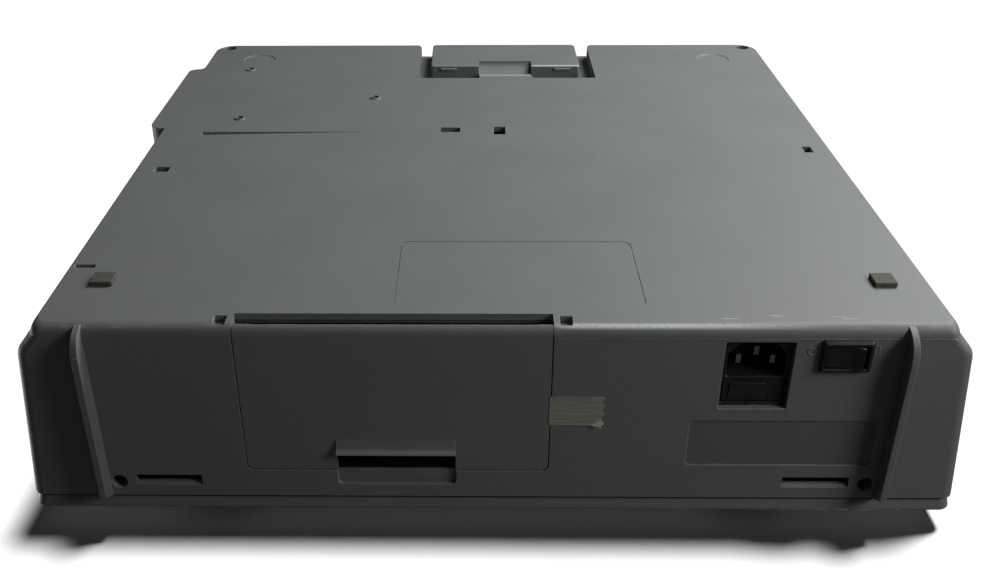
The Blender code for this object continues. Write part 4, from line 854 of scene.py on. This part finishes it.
def label_frame():
    """A thin engraved line round the bare label field on the underside."""
    shape = bmesh.new()
    points = flat_rectangle((-0.0410, 0.0643), (ahead(0.0750), ahead(0.0125)), up(0.0003))
    face = add_outline(shape, points, (0.0040,) * 4)
    bmesh.ops.inset_region(shape, faces=[face], thickness=0.0006, use_even_offset=True, use_boundary=True)
    bmesh.ops.delete(shape, geom=[face], context="FACES_ONLY")
    bmesh.ops.bisect_plane(
        shape,
        geom=shape.verts[:] + shape.edges[:] + shape.faces[:],
        plane_co=(0, ahead(0.0190), 0),
        plane_no=(0, 1, 0),
        clear_outer=True,
    )
    ring = list(shape.faces)
    grown = bmesh.ops.extrude_face_region(shape, geom=ring)["geom"]
    verts = [item for item in grown if isinstance(item, bmesh.types.BMVert)]
    bmesh.ops.translate(shape, verts=verts, vec=(0, 0, -0.0010))
    return shape


def shell_bores():
    """Bores for the case screws, the door's pins and the handle's arms."""
    shape = bmesh.new()
    for side in SIDES:
        case_rod(shape, side, up(-0.0010), up(0.0690), 0.0042)
        case_rod(shape, side, up(0.0004), up(-0.0008), 0.0042, 0.0054)
        case_rod(shape, side, up(0.0600), up(0.0840), SCREW_BORE)
        rear_rod(shape, side, ahead(0.0070), REAR + 0.001, 0.0033)
        rear_rod(shape, side, ahead(0.0004), REAR + 0.0008, 0.0033, 0.0045)
        rear_rod(shape, side, ahead(0.0160), ahead(0.0050), SCREW_BORE)
    y, z = DOOR_AXIS
    for edge, way in zip(DOOR_X, SIDES):
        add_rod(shape, (edge - way * WALL, y, z), (edge + way * 0.0103, y, z), 0.0018)
    for low, high in POCKETS:
        x = around((low + high) / 2, 0.0108)
        y = (RECESS_BACK - 0.0034, RECESS_BACK + 0.0068)
        add_block(shape, x, y, (RECESS_TOP + 0.0016, RECESS_TOP + 0.0074))
    return shape


def recess_cut():
    """The handle's recess, open at the front edge with rounded corners."""
    shape = bmesh.new()
    x0, x1 = HANDLE_X[0] - 0.0076, HANDLE_X[1] + 0.0082
    flare, corner, before = 0.0115, 0.0110, FRONT - 0.003
    plan = [(x0, RECESS_BACK), (x0, FRONT), (x0 - flare, FRONT), (x0 - flare, before)]
    plan += [(x1 + flare, before), (x1 + flare, FRONT), (x1, FRONT), (x1, RECESS_BACK)]
    points = [(x, y, UNDER - WALL) for x, y in plan]
    add_prism(shape, points, (0, 0, RECESS_TOP - UNDER + WALL), (0, corner, 0, 0, 0, 0, corner, 0), 10)
    return shape


def pocket_cuts():
    """The two pockets that the handle's arms run in."""
    shape = bmesh.new()
    reach = HANDLE_REAR - 0.0394
    for low, high in POCKETS:
        add_box(shape, (low, reach, RECESS_TOP - WALL), (high, RECESS_BACK - GAP, POCKET_TOP))
    return shape


def finger_ramp():
    """The dip between the two pockets, sinking from the underside towards the handle."""
    shape = bmesh.new()
    back, front = RECESS_BACK, HANDLE_REAR + RUN
    profile = [(back + 0.0017, RECESS_TOP + WALL), (back + 0.0017, UNDER)]
    for i in range(17):
        share = i / 16
        profile.append((back + (front - back) * share, UNDER + SCOOP_DEPTH * (1 - cos(pi * share)) / 2))
    profile.append((front, RECESS_TOP + WALL))
    add_slab(shape, (SCOOP[0] + RUN, SCOOP[1] - RUN), profile)
    return shape


def moulding_line():
    """A thin raised parting line on the rear panel, right of the door, on both sides of the fin."""
    shape = bmesh.new()
    for x in ((0.0262, 0.1640), (0.1720, 0.1865)):
        edges = add_block(shape, x, (ahead(0.0008), REAR + 0.00022), (up(0.0054), up(0.0058)))
        soften(shape, edges, 0.0001, 1)
    return shape


def make_housing():
    """The base shell: tub and additions joined, then every opening cut, then the two late additions."""
    shell = housing_block()
    additions = shell_additions()
    add_ribs(additions)
    join(shell, additions)
    for taken in (shell_openings, shell_details, label_frame, shell_bores, recess_cut, pocket_cuts):
        cut(shell, taken())
    join(shell, finger_ramp())
    join(shell, moulding_line())
    finish_piece(shell, housing_plastic, "housing", "housing", "base_shell")


make_housing()


# Door


def make_door():
    """The rear door: a plate that curls under at its hinge, with a pull lip beside its notch."""
    shape = bmesh.new()
    profile = [(REAR, DOOR_TOP), (REAR, UNDER), (ahead(0.0120), UNDER), (ahead(0.0120), FLOOR)]
    profile += [(ahead(WALL), FLOOR), (ahead(WALL), DOOR_TOP)]
    add_slab(shape, DOOR_X, profile, (0, EDGE_R, 0, 0, EDGE_R - WALL, 0), 10)
    corners = [
        edge
        for edge in shape.edges
        if min(v.co.z for v in edge.verts) > DOOR_TOP - 1e-5
        and abs(edge.verts[0].co.x - edge.verts[1].co.x) < 1e-6
    ]
    soften(shape, corners, 0.0030, 6)
    outer = edges_behind(shape.edges, ahead(0.0028))
    soften(shape, [edge for edge in outer if edge.calc_face_angle(0) > radians(50)], 0.0004, 3)
    door = new_piece("door_panel", shape)
    trim = bmesh.new()
    x = (DOOR_X[0] - WALL, DOOR_X[1] + WALL)
    add_block(trim, x, (ahead(0.0150), ahead(0.0027)), (UNDER - WALL, up(0.0046)))
    cut(door, trim)
    extra = bmesh.new()
    profile = [(ahead(0.0015), up(0.0555)), (ahead(0.0001), up(0.0552)), (REAR + 0.0008, up(0.0588))]
    profile += [(REAR + 0.0017, up(0.0612)), (PULL_OUT, up(0.0624)), (PULL_OUT, PULL_EDGE)]
    profile += [(ahead(0.0015), PULL_EDGE)]
    add_slab(extra, PULL_X, profile, (0, 0, 0.0020, 0.0012, 0.0004, 0.0003), 4)
    y, z = DOOR_AXIS
    for edge, way in zip(DOOR_X, SIDES):
        add_rod(extra, (edge - way * 0.0001, y, z), (edge - way * 0.0060, y, z), 0.0027)
    join(door, extra)
    holes = bmesh.new()
    add_block(holes, PULL_X, (ahead(0.0040), REAR + 0.0050), (PULL_EDGE, DOOR_TOP + WALL))
    for edge, way in zip(DOOR_X, SIDES):
        add_rod(holes, (edge + way * 0.0020, y, z), (edge - way * 0.0070, y, z), 0.0018)
    cut(door, holes)
    finish_piece(door, door_plastic, "door", "door", "rear_door")


make_door()


# Top cover, lid and pad


def cover_ranges(draw):
    """The cover's ranges along X and Y, drawn in by a distance."""
    return (-SEAM_HALF + draw, SEAM_HALF - draw), (FRONT + draw, REAR - draw)


def make_cover():
    """The top cover: a rounded frame with the platen window, posts and latch tongues."""
    shape = bmesh.new()
    points = flat_rectangle(*cover_ranges(0.0014), COVER_LOW)
    face = add_outline(shape, points, (0.012, 0.012, 0.005, 0.005), 8)
    levels = [(COVER_LOW + 0.0003, 0.0011)]
    round_top = 0.0013
    for i in range(9):
        turn = radians(11.25 * i)
        levels.append((COVER_TOP - round_top + round_top * sin(turn), 0.0001 + round_top * (1 - cos(turn))))
    raise_rings(shape, face, [zip(*cover_ranges(draw), (z, z)) for z, draw in levels])
    cover = new_piece("cover_frame", shape)
    skirt = bmesh.new()
    points = flat_rectangle(*cover_ranges(0.0034), SEAM - 0.0020)
    add_prism(skirt, points, (0, 0, 0.0040), (0.0090, 0.0090, 0.0020, 0.0020))
    join(cover, skirt)
    inner = bmesh.new()
    points = flat_rectangle(*cover_ranges(0.0046), SEAM - WALL)
    add_prism(inner, points, (0, 0, 0.0040), (0.0078, 0.0078, 0.0010, 0.0010))
    cut(cover, inner)
    room = bmesh.new()
    add_block(room, *cover_ranges(0.007), (COVER_LOW - WALL, COVER_TOP - 0.0028))
    cut(cover, room)
    posts = bmesh.new()
    top = COVER_TOP - 0.0014
    for side in SIDES:
        case_rod(posts, side, up(0.0783), top, 0.0068)
        x = around(side * REAR_SCREW[0], 0.0104)
        add_block(posts, x, (ahead(0.0178), ahead(0.0118)), (up(0.0750), top))
        x = around(side * LATCH_X, 0.0230)
        add_block(posts, x, (ahead(0.0086), ahead(0.0062)), (up(0.0735), top))
    join(cover, posts)
    holes = bmesh.new()
    window = flat_rectangle((-0.148, 0.148), (GLASS_Y - 0.107, GLASS_Y + 0.107), COVER_LOW - WALL)
    add_tunnel(holes, window, (0.0030,) * 4, (0, 0, 1), COVER_TOP - COVER_LOW + WALL, 0.0006)
    for side in SIDES:
        case_rod(holes, side, up(0.0750), up(0.0840), SCREW_BORE)
        rear_rod(holes, side, ahead(0.0220), ahead(0.0100), SCREW_BORE)
    cut(cover, holes)
    finish_piece(cover, cover_plastic, "housing", "cover", "top_cover")


make_cover()


def lid_ranges(draw):
    """The lid's ranges along X and Y, drawn in by a distance."""
    return (-LID_HALF + draw, LID_HALF - draw), (LID_Y[0] + draw, LID_Y[1] - draw)


def make_lid():
    """The document lid: a hollow cap with a softened rim and two hinge ears."""
    shape = bmesh.new()
    face = add_outline(shape, flat_rectangle(*lid_ranges(0.0005), LID_LOW), (0.0120,) * 4, 10)
    levels = [(LID_LOW + 0.0005, 0.0)]
    round_top = 0.0025
    for i in range(8):
        turn = radians(90 / 7 * i)
        levels.append((LID_TOP - round_top + round_top * sin(turn), round_top * (1 - cos(turn))))
    raise_rings(shape, face, [zip(*lid_ranges(draw), (z, z)) for z, draw in levels])
    lid = new_piece("lid_cap", shape)
    room = bmesh.new()
    points = flat_rectangle(*lid_ranges(LID_SKIN), LID_LOW - WALL)
    add_prism(room, points, (0, 0, LID_TOP - LID_LOW - LID_SKIN + WALL), (0.0095,) * 4, 10)
    cut(lid, room)
    y, z = LID_AXIS
    ears = bmesh.new()
    for side in SIDES:
        back, root, low, high = y + 0.0050, LID_Y[1] - 0.0012, z - 0.0050, z + 0.0050
        profile = [(back, low), (back, high), (root, high), (root, low)]
        add_slab(ears, around(side * LID_HINGE_X, 0.0160), profile, (0.0049, 0.0049), 8)
    join(lid, ears)
    bore = bmesh.new()
    for side in SIDES:
        x = around(side * LID_HINGE_X, 0.0300)
        add_rod(bore, (x[0], y, z), (x[1], y, z), 0.0023)
    cut(lid, bore)
    finish_piece(lid, lid_plastic, "lid", "cover", "lid_cover")


make_lid()


def make_pad():
    """The white pad under the lid, a soft sheet with slightly rounded edges."""
    shape = bmesh.new()
    top = LID_TOP - LID_SKIN - GAP
    edges = add_block(shape, *lid_ranges(0.0085), (top - 0.0074, top))
    soften(shape, edges, 0.0012, 4)
    pad = new_piece("pad_sheet", shape)
    finish_piece(pad, pad_vinyl, "lid", "white_foam", "lid_pad")


make_pad()


# Carry handle


def make_handle():
    """The carry handle: a rounded block with a finger scoop and two arms into the housing."""
    low = up(0.0002)
    high = low + 0.0088
    shape = bmesh.new()
    points = flat_rectangle(HANDLE_X, (HANDLE_FRONT, HANDLE_REAR), low)
    add_prism(shape, points, (0, 0, high - low), (0.003, 0.003, 0.002, 0.002))
    rim = [edge for edge in shape.edges if max(v.co.z for v in edge.verts) < low + 1e-6]
    soften(shape, rim, 0.0009, 4)
    handle = new_piece("handle_block", shape)
    notch = bmesh.new()
    reach = 0.0098
    profile = [(HANDLE_REAR - reach - 0.0008, low - WALL)]
    for i in range(11):
        turn = radians(9 * i)
        profile.append((HANDLE_REAR - reach * cos(turn), UNDER + SCOOP_DEPTH * sin(turn)))
    profile += [(HANDLE_REAR + WALL, UNDER + SCOOP_DEPTH), (HANDLE_REAR + WALL, low - WALL)]
    add_slab(notch, around(HANDLE_MID, 0.0350), profile)
    cut(handle, notch)
    arms = bmesh.new()
    bottom, top = RECESS_TOP + 0.0020, RECESS_TOP + 0.0070
    for pocket in POCKETS:
        root, bend, end = HANDLE_REAR - 0.0050, HANDLE_REAR - 0.0020, HANDLE_REAR + 0.0700
        profile = [(root, high - 0.0015), (bend, high - 0.0015), (bend, bottom)]
        profile += [(end, bottom), (end, top), (root, top)]
        add_slab(arms, around((pocket[0] + pocket[1]) / 2, 0.0100), profile, (0, 0, 0.0010), 3)
    for x in (-0.0245, 0.0510):
        y = (HANDLE_REAR - 0.0010, HANDLE_REAR + 0.0018)
        edges = add_block(arms, around(x, 0.0105), y, (up(0.0018), up(0.0034)))
        soften(arms, edges, 0.0003, 2)
    join(handle, arms)
    finish_piece(handle, handle_plastic, "handle", "housing", "carry_handle")


make_handle()


# Inlet, fuse drawer and switch


def make_inlet():
    """The mains inlet: a shrouded socket with two cut corners, above the opening for the fuse drawer."""
    shape = bmesh.new()
    z = (INLET_Z[0] + GAP, INLET_Z[1] - GAP)
    edges = add_block(shape, around(INLET_X, 0.0276), (INLET_FACE - 0.0240, INLET_FACE), z)
    soften(shape, edges_behind(edges, INLET_FACE - 1e-6), 0.0005, 3)
    body = new_piece("inlet_block", shape)
    room = bmesh.new()
    bottom, top = up(0.0092), up(0.0252)
    x0, x1 = around(INLET_X, 0.0240)
    y = INLET_FACE - 0.0170
    points = [(x0 + 0.005, y, bottom), (x1 - 0.005, y, bottom), (x1, y, bottom + 0.005), (x1, y, top)]
    points += [(x0, y, top), (x0, y, bottom + 0.005)]
    add_tunnel(room, points, (0.0006, 0.0006, 0.0006, 0.0012, 0.0012, 0.0006), (0, 1, 0), 0.0170, 0.0004)
    opening = rear_rectangle(around(INLET_X, 0.0260), around(FUSE_Z, 0.0116), INLET_FACE - 0.0024)
    add_tunnel(room, opening, (0.0006,) * 4, (0, 1, 0), 0.0024, 0.0002)
    cut(body, room)
    tunnel = bmesh.new()
    y = (INLET_FACE - 0.0234, INLET_FACE)
    add_block(tunnel, around(INLET_X, 0.0098), y, around(FUSE_Z, 0.0088))
    cut(body, tunnel)
    finish_piece(body, black_gloss, "housing", "black_gloss", "inlet_body")


make_inlet()


def make_fuse_drawer():
    """The fuse drawer: a face with a raised field and finger lines, and the tray behind it."""
    shape = bmesh.new()
    y = (INLET_FACE - 0.0020, INLET_FACE - 0.0004)
    edges = add_block(shape, around(INLET_X, 0.0252), y, around(FUSE_Z, 0.0108))
    soften(shape, edges_behind(edges, INLET_FACE - 0.0005), 0.0004, 3)
    drawer = new_piece("drawer_face", shape)
    raised = bmesh.new()
    y = (INLET_FACE - 0.0012, INLET_FACE + 0.0004)
    edges = add_block(raised, around(INLET_X - 0.0025, 0.0150), y, around(FUSE_Z - 0.0008, 0.0066))
    soften(raised, edges_behind(edges, INLET_FACE), 0.0004, 3)
    for lift in (0.0, 0.0012, 0.0024):
        x, y = (INLET_X + 0.0066, INLET_X + 0.0112), (INLET_FACE - 0.0012, INLET_FACE)
        add_block(raised, x, y, around(FUSE_Z + 0.0030 + lift - 0.0015, 0.0005))
    y = (INLET_FACE - 0.0230, INLET_FACE - 0.0010)
    add_block(raised, around(INLET_X, 0.0090), y, around(FUSE_Z, 0.0080))
    join(drawer, raised)
    cradle = bmesh.new()
    y = around(INLET_FACE - 0.0125, 0.0188)
    add_block(cradle, around(INLET_X, 0.0058), y, (FUSE_Z - 0.0029, FUSE_Z + 0.0080))
    cut(drawer, cradle)
    finish_piece(drawer, black_plastic, "fuse_holder", "black_plastic", "fuse_drawer")


make_fuse_drawer()


def make_switch():
    """The switch: a bevelled frame round a well, and a rocker with a dished face."""
    face = REAR + GAP
    shape = bmesh.new()
    points = rear_rectangle(around(SWITCH_X, 0.0210), around(SWITCH_Z, 0.0150), face)
    flat = add_prism(shape, points, (0, 0.0009, 0), (0.0012,) * 4, 4)
    flat = grow(shape, flat, (0, 0.0010, 0))
    widen(shape, flat, -0.0010)
    body = new_piece("switch_frame", shape)
    inside = bmesh.new()
    y = (ahead(0.0170), face + 0.0009)
    add_block(inside, around(SWITCH_X, 0.0190), y, around(SWITCH_Z, 0.0130))
    join(body, inside)
    well = bmesh.new()
    points = rear_rectangle(around(SWITCH_X, 0.0174), around(SWITCH_Z, 0.0110), ahead(0.0090))
    add_tunnel(well, points, (), (0, 1, 0), 0.0112, 0.0002)
    cut(body, well)
    finish_piece(body, black_plastic, "housing", "black_plastic", "switch_body")
    pivot = ahead(0.0030)
    half = 0.0075
    crown = face + 0.0019 - pivot + GAP
    tilt = radians(10)
    points = [(-half, crown), (-half, -half / 8), (-half / 3, -half / 2), (half / 3, -half / 2)]
    points += [(half, -half / 8), (half, crown), (0, crown - half * sin(tilt))]
    shape = bmesh.new()
    points = [(x, y, 0) for x, y in points]
    add_prism(shape, points, (0, 0, 0.0104), (0.0005, 0, 0, 0, 0, 0.0005, 0.0040))
    outer = edges_behind(shape.edges, crown - 0.002)
    soften(shape, [edge for edge in outer if edge.calc_face_angle(0) > radians(60)], 0.0004, 2)
    turn = Matrix.Translation((SWITCH_X, pivot, SWITCH_Z - 0.0052)) @ Matrix.Rotation(tilt, 4, "Z")
    bmesh.ops.transform(shape, matrix=turn, verts=shape.verts)
    rocker = new_piece("switch_paddle", shape)
    finish_piece(rocker, black_gloss, "rocker", "black_gloss", "switch_rocker", sharp=40)


make_switch()


def make_marks():
    """Plain O and I marks beside the switch, a hair proud of the panel."""
    shape = bmesh.new()
    ring = bmesh.ops.create_circle(shape, segments=8, radius=0.00022)["verts"]
    bmesh.ops.rotate(shape, verts=ring, cent=(0, 0, 0), matrix=Matrix.Rotation(pi / 2, 3, "X"))
    bmesh.ops.translate(shape, verts=ring, vec=(0.00150, 0, 0))
    edges = list({edge for vert in ring for edge in vert.link_edges})
    bmesh.ops.spin(
        shape, geom=ring + edges, cent=(0, 0, 0), axis=(0, 0, 1), angle=2 * pi, steps=32, use_merge=True
    )
    place = Matrix.Translation((0.1293, REAR + 0.0001, up(0.0112))) @ Matrix.Rotation(pi / 2, 4, "X")
    bmesh.ops.transform(shape, matrix=place, verts=shape.verts)
    edges = add_block(shape, (0.1561, 0.1565), (REAR - 0.0002, REAR + 0.0002), (up(0.0091), up(0.0125)))
    soften(shape, edges, 0.0001, 1)
    marks = new_piece("switch_marks", shape)
    finish_piece(marks, mark_paint, "housing", "housing")


make_marks()


def make_feet():
    """Two rubber feet at the rear, worn round on their edges."""
    for side, word in zip(SIDES, ("left", "right")):
        shape = bmesh.new()
        x, y = around(side * 0.1675, 0.0096), (ahead(0.0415), ahead(0.0323))
        edges = add_block(shape, x, y, (0.0, UNDER))
        soften(shape, edges, 0.0005, 3)
        foot = new_piece(f"rubber_foot_{word}", shape)
        finish_piece(foot, foot_rubber, "housing", "foot_rubber", f"rear_foot_{word}")


make_feet()


def make_sticker():
    """A worn blank sticker beside the door, with one corner curled off the panel."""
    shape = bmesh.new()
    bmesh.ops.create_grid(shape, x_segments=30, y_segments=20, size=0.5)
    width, height = 0.0226, 0.0147
    for vert in shape.verts:
        u, v = vert.co.x + 0.5, vert.co.y + 0.5
        torn = 0.0007 * sin(23 * v) + 0.0004 * sin(57 * v + 1)
        curl = max(0.0, u + v - 1.62)
        x = 0.0242 + width * u + torn * max(0.0, u - 0.9) * 10
        vert.co = (x - 0.004 * curl * curl, REAR + 0.00012 + 0.014 * curl * curl, up(0.0338) + height * v)
    shape.normal_update()
    bmesh.ops.solidify(shape, geom=shape.faces, thickness=0.00008)
    sticker = new_piece("blank_sticker", shape)
    finish_piece(sticker, sticker_paper, "housing", "housing")


make_sticker()


# Connectors and screws


def port_outline(x, y, mid, half, low_inset, high_inset):
    """The slanted outline of a connector: its lower and upper side stand in by different amounts."""
    low, high = mid - half, mid + half
    points = [(x[0] + low_inset, y, low), (x[1] - low_inset, y, low)]
    return points + [(x[1] - high_inset, y, high), (x[0] + high_inset, y, high)]


def make_connectors():
    """Two connectors in the compartment: a slanted metal shroud with a black insert and contact rows."""
    for word in ("left", "right"):
        (x0, y0, z0), (x1, y1, z1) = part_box(f"port_connector_{word}")
        x, mid = (x0, x1), (z0 + z1) / 2
        nuts = (x0 + 0.0030, x1 - 0.0030)
        shape = bmesh.new()
        add_prism(shape, rear_rectangle(x, (z0, z1), y0), (0, 0.0072, 0), (0.0010,) * 4, 4)
        port = new_piece(f"port_shroud_{word}", shape)
        shroud = bmesh.new()
        points = port_outline(x, y0 + 0.0060, mid, 0.0044, 0.0070, 0.0055)
        add_prism(shroud, points, (0, y1 - y0 - 0.0060, 0), (0.0012,) * 4, 5)
        for nut in nuts:
            add_rod(shroud, (nut, y0 + 0.0060, mid), (nut, y1 - 0.0030, mid), 0.0024, segments=6)
        join(port, shroud)
        holes = bmesh.new()
        points = port_outline(x, y0 + 0.0080, mid, 0.0036, 0.0078, 0.0064)
        add_prism(holes, points, (0, y1 - y0, 0), (0.0008,) * 4, 4)
        for nut in nuts:
            add_rod(holes, (nut, y0 + 0.0080, mid), (nut, y1, mid), 0.0013, segments=20)
        cut(port, holes)
        finish_piece(port, zinc_steel, "housing", "steel", f"port_connector_{word}")
        insert = bmesh.new()
        points = port_outline(x, y0 + 0.0079, mid, 0.0021, 0.0092, 0.0085)
        end = add_prism(insert, points, (0, y1 - y0 - 0.0092, 0), (0.0005,) * 4, 3)
        soften(insert, list(end.edges), 0.0003, 2)
        tongue = new_piece(f"port_insert_{word}", insert)
        grooves = bmesh.new()
        for row in SIDES:
            z = around(mid + row * 0.0021, 0.0008)
            for i in range(12):
                groove = around(x0 + 0.0102 + (x1 - x0 - 0.0204) * i / 11, 0.0010)
                add_block(grooves, groove, (y0 + 0.0090, y1), z)
        cut(tongue, grooves)
        finish_piece(tongue, black_plastic, "housing", "black_plastic")


make_connectors()


def make_screw(name, head_end, way, head_radius, head_height, length, slot_depth):
    """A screw with a domed, cross-slotted head and a threaded shank, from its head's outer face inwards."""
    shape = bmesh.new()
    verts = [shape.verts.new((0, 0, 0)), shape.verts.new((head_radius * 0.72, 0, 0))]
    profile = [(head_radius * 0.93, 0.14), (head_radius, 0.38), (head_radius, 1.0), (0.0015, 1.0)]
    verts += [shape.verts.new((radius, 0, -head_height * share)) for radius, share in profile]
    turns = int((length - 0.0008) / 0.0006)
    for i in range(turns):
        z = -head_height - 0.0004 - 0.0006 * i
        verts += [shape.verts.new((0.0012, 0, z)), shape.verts.new((0.0015, 0, z - 0.0003))]
    verts += [shape.verts.new((radius, 0, -head_height - length)) for radius in (0.0009, 0)]
    edges = [shape.edges.new(pair) for pair in zip(verts, verts[1:])]
    bmesh.ops.spin(
        shape, geom=verts + edges, cent=(0, 0, 0), axis=(0, 0, 1), angle=2 * pi, steps=28, use_merge=True
    )
    bmesh.ops.remove_doubles(shape, verts=shape.verts, dist=1e-6)
    turn = Vector(way).to_track_quat("Z", "Y").to_matrix().to_4x4()
    place = Matrix.Translation(head_end) @ turn
    bmesh.ops.transform(shape, matrix=place, verts=shape.verts)
    screw = new_piece(name, shape)
    slots = bmesh.new()
    reach, half = head_radius * 0.58, head_radius * 0.15
    for size in ((reach, half), (half, reach)):
        add_box(slots, (-size[0], -size[1], -slot_depth), (size[0], size[1], head_height))
    bmesh.ops.transform(slots, matrix=place, verts=slots.verts)
    cut(screw, slots)
    return screw


def make_screws():
    """Every screw of the frame, with its head outwards."""
    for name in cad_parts:
        if "screw" not in name:
            continue
        low, high = (Vector(corner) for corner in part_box(name))
        middle = (low + high) / 2
        if name.startswith("rear_case"):
            top, way, length = (middle.x, high.y, middle.z), (0, 1, 0), high.y - low.y
        else:
            top, way, length = (middle.x, middle.y, low.z), (0, 0, -1), high.z - low.z
        head = 0.0010 if name.startswith("chassis") else 0.0020
        screw = make_screw(f"{name}_turned", top, way, (high.x - low.x) / 2, head, length - head, head * 0.6)
        finish_piece(screw, dark_steel, "housing", "dark_steel", name)


make_screws()


# Finishes of the pieces that keep their CAD shape

CAD_FINISHES = {
    "platen_glass": platen_material,
    "bay_liner": liner_plastic,
    "main_board": board_green,
    "sensor_board": board_green,
    "power_supply": zinc_steel,
    "fuse": lamp_glass,
    "scan_lamp": lamp_glass,
    "scan_lens": black_gloss,
    "scan_carriage": black_plastic,
    "drive_belt": belt_rubber,
    "guide_rod": rod_steel,
    "drive_motor": motor_can,
    "home_sensor": black_plastic,
    "motor_pulley": white_plastic,
    "idler_pulley": white_plastic,
}
CAD_FAMILIES = (
    ("lid_hinge_bracket", lid_plastic),
    ("lid_hinge_pin", rod_steel),
    ("door_hinge_pin", rod_steel),
    ("inlet_pin", pin_metal),
    ("handle_guide", liner_plastic),
    ("rod_bracket", zinc_steel),
    ("support_rail", zinc_steel),
    ("scan_mirror", mirror_glass),
    ("drive_chassis", zinc_steel),
    ("idler_post", zinc_steel),
)


def dress_cad_nodes():
    """Gives the CAD nodes their finishes, by whole name or by how the name starts."""
    for name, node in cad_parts.items():
        found = CAD_FINISHES.get(name)
        for start, finish in CAD_FAMILIES:
            if name.startswith(start):
                found = finish
        if found:
            for slot in node.material_slots:
                slot.material = found


dress_cad_nodes()


# Camera, world, floors and lamps

FLOOR_SIZE = 8.0


def make_camera():
    """The photograph's view, from behind and below, upside down."""
    data = bpy.data.cameras.new("photo_camera")
    data.sensor_width = 36.0
    data.lens = 39.10
    data.shift_x = 0.0423
    data.clip_start = 0.02
    camera = add_object("photo_camera", data)
    right = Vector((0.99988, -0.01419, 0.00635))
    upward = Vector((-0.00145, -0.49202, -0.87058))
    backward = Vector((0.01548, 0.87047, -0.49198))
    turn = Matrix((right, upward, backward)).transposed()
    camera.matrix_world = Matrix.Translation((-0.0072, 0.5567, -0.2270)) @ turn.to_4x4()
    bpy.context.scene.camera = camera


def make_world():
    """White to the camera and through glass, and a dim glow on everything else."""
    world = bpy.data.worlds.new("studio")
    world.use_nodes = True
    tree = world.node_tree
    tree.nodes.clear()
    path = put(tree, "ShaderNodeLightPath").outputs
    seen = maths(tree, "MAXIMUM", path["Is Camera Ray"], path["Is Transmission Ray"])
    glow = put(tree, "ShaderNodeBackground", {"Color": (1, 1, 1, 1), "Strength": 0.036})
    white = put(tree, "ShaderNodeBackground", {"Color": (1, 1, 1, 1), "Strength": 1.0})
    pick = put(tree, "ShaderNodeMixShader", {0: seen, 1: glow.outputs[0], 2: white.outputs[0]})
    put(tree, "ShaderNodeOutputWorld", {"Surface": pick.outputs[0]})
    bpy.context.scene.world = world


def floor_material():
    """Pale floor that shows from its own side only."""
    made = bpy.data.materials.new("pale_floor")
    made.use_nodes = True
    tree = made.node_tree
    tree.nodes.clear()
    behind = put(tree, "ShaderNodeNewGeometry").outputs["Backfacing"]
    pale = put(tree, "ShaderNodeBsdfDiffuse", {"Color": (0.42, 0.42, 0.42, 1)})
    clear = put(tree, "ShaderNodeBsdfTransparent")
    pick = put(tree, "ShaderNodeMixShader", {0: behind, 1: pale.outputs[0], 2: clear.outputs[0]})
    put(tree, "ShaderNodeOutputMaterial", {"Surface": pick.outputs[0]})
    return made


def make_floor(name, z, turned, material):
    """A wide level floor that only the camera sees, facing up or turned to face down."""
    shape = bmesh.new()
    bmesh.ops.create_grid(shape, x_segments=1, y_segments=1, size=FLOOR_SIZE / 2)
    bmesh.ops.translate(shape, verts=shape.verts, vec=(0, 0, z))
    if turned:
        bmesh.ops.reverse_faces(shape, faces=shape.faces)
    mesh = bpy.data.meshes.new(name)
    shape.to_mesh(mesh)
    shape.free()
    mesh.materials.append(material)
    floor = add_object(name, mesh)
    floor.visible_shadow = False
    floor.visible_diffuse = False
    floor.visible_glossy = False
    floor.visible_transmission = False
    return floor


def new_lamp(name, kind, place, target, power, receivers):
    """A lamp that points at a target and lights only its receivers. Returns its data."""
    data = bpy.data.lights.new(name, kind)
    data.energy = power
    lamp = add_object(name, data)
    lamp.location = place
    lamp.rotation_euler = (Vector(target) - Vector(place)).to_track_quat("-Z", "Y").to_euler()
    lamp.light_linking.receiver_collection = receivers
    return data


def area_lamp(name, place, target, size, power, others):
    """A round lamp that lights everything except the floors."""
    data = new_lamp(name, "AREA", place, target, power, others)
    data.shape = "DISK"
    data.size = size


def floor_lamp(name, place, strength, floors):
    """A sun that lights only the floors, so that they stay white and keep the shadow."""
    data = new_lamp(name, "SUN", place, (0, 0, 0), strength, floors)
    data.angle = radians(10)


def make_studio():
    """A floor under the feet, one under the lid for the photograph's view, and their lamps."""
    material = floor_material()
    ground = make_floor("ground", 0.0, False, material)
    table = make_floor("table_under_lid", LID_TOP, True, material)
    floors = bpy.data.collections.new("floors")
    others = bpy.data.collections.new("all_but_floors")
    for floor in (ground, table):
        floors.objects.link(floor)
        others.objects.link(floor)
    for item in others.collection_objects:
        item.light_linking.link_state = "EXCLUDE"
    floor_lamp("table_sun", (0.20, -0.13, -1.0), 8.6, floors)
    floor_lamp("ground_sun", (0.30, -0.45, 1.0), 9.0, floors)
    middle = (0, 0, 0.05)
    area_lamp("key_low", (0.52, -0.26, -0.66), middle, 0.60, 9.2, others)
    area_lamp("fill_right", (0.62, 0.45, -0.35), (0.05, 0.19, 0.05), 0.3, 2.2, others)
    area_lamp("key_high", (0.55, -0.75, 1.10), middle, 0.6, 15.0, others)
    area_lamp("fill_behind", (0.15, 0.95, 1.30), middle, 0.6, 0.4, others)
    area_lamp("fill_left", (-1.15, -0.25, 0.45), middle, 0.6, 5.0, others)


make_camera()
make_world()
make_studio()

scene = bpy.context.scene
scene.view_settings.view_transform = "Standard"
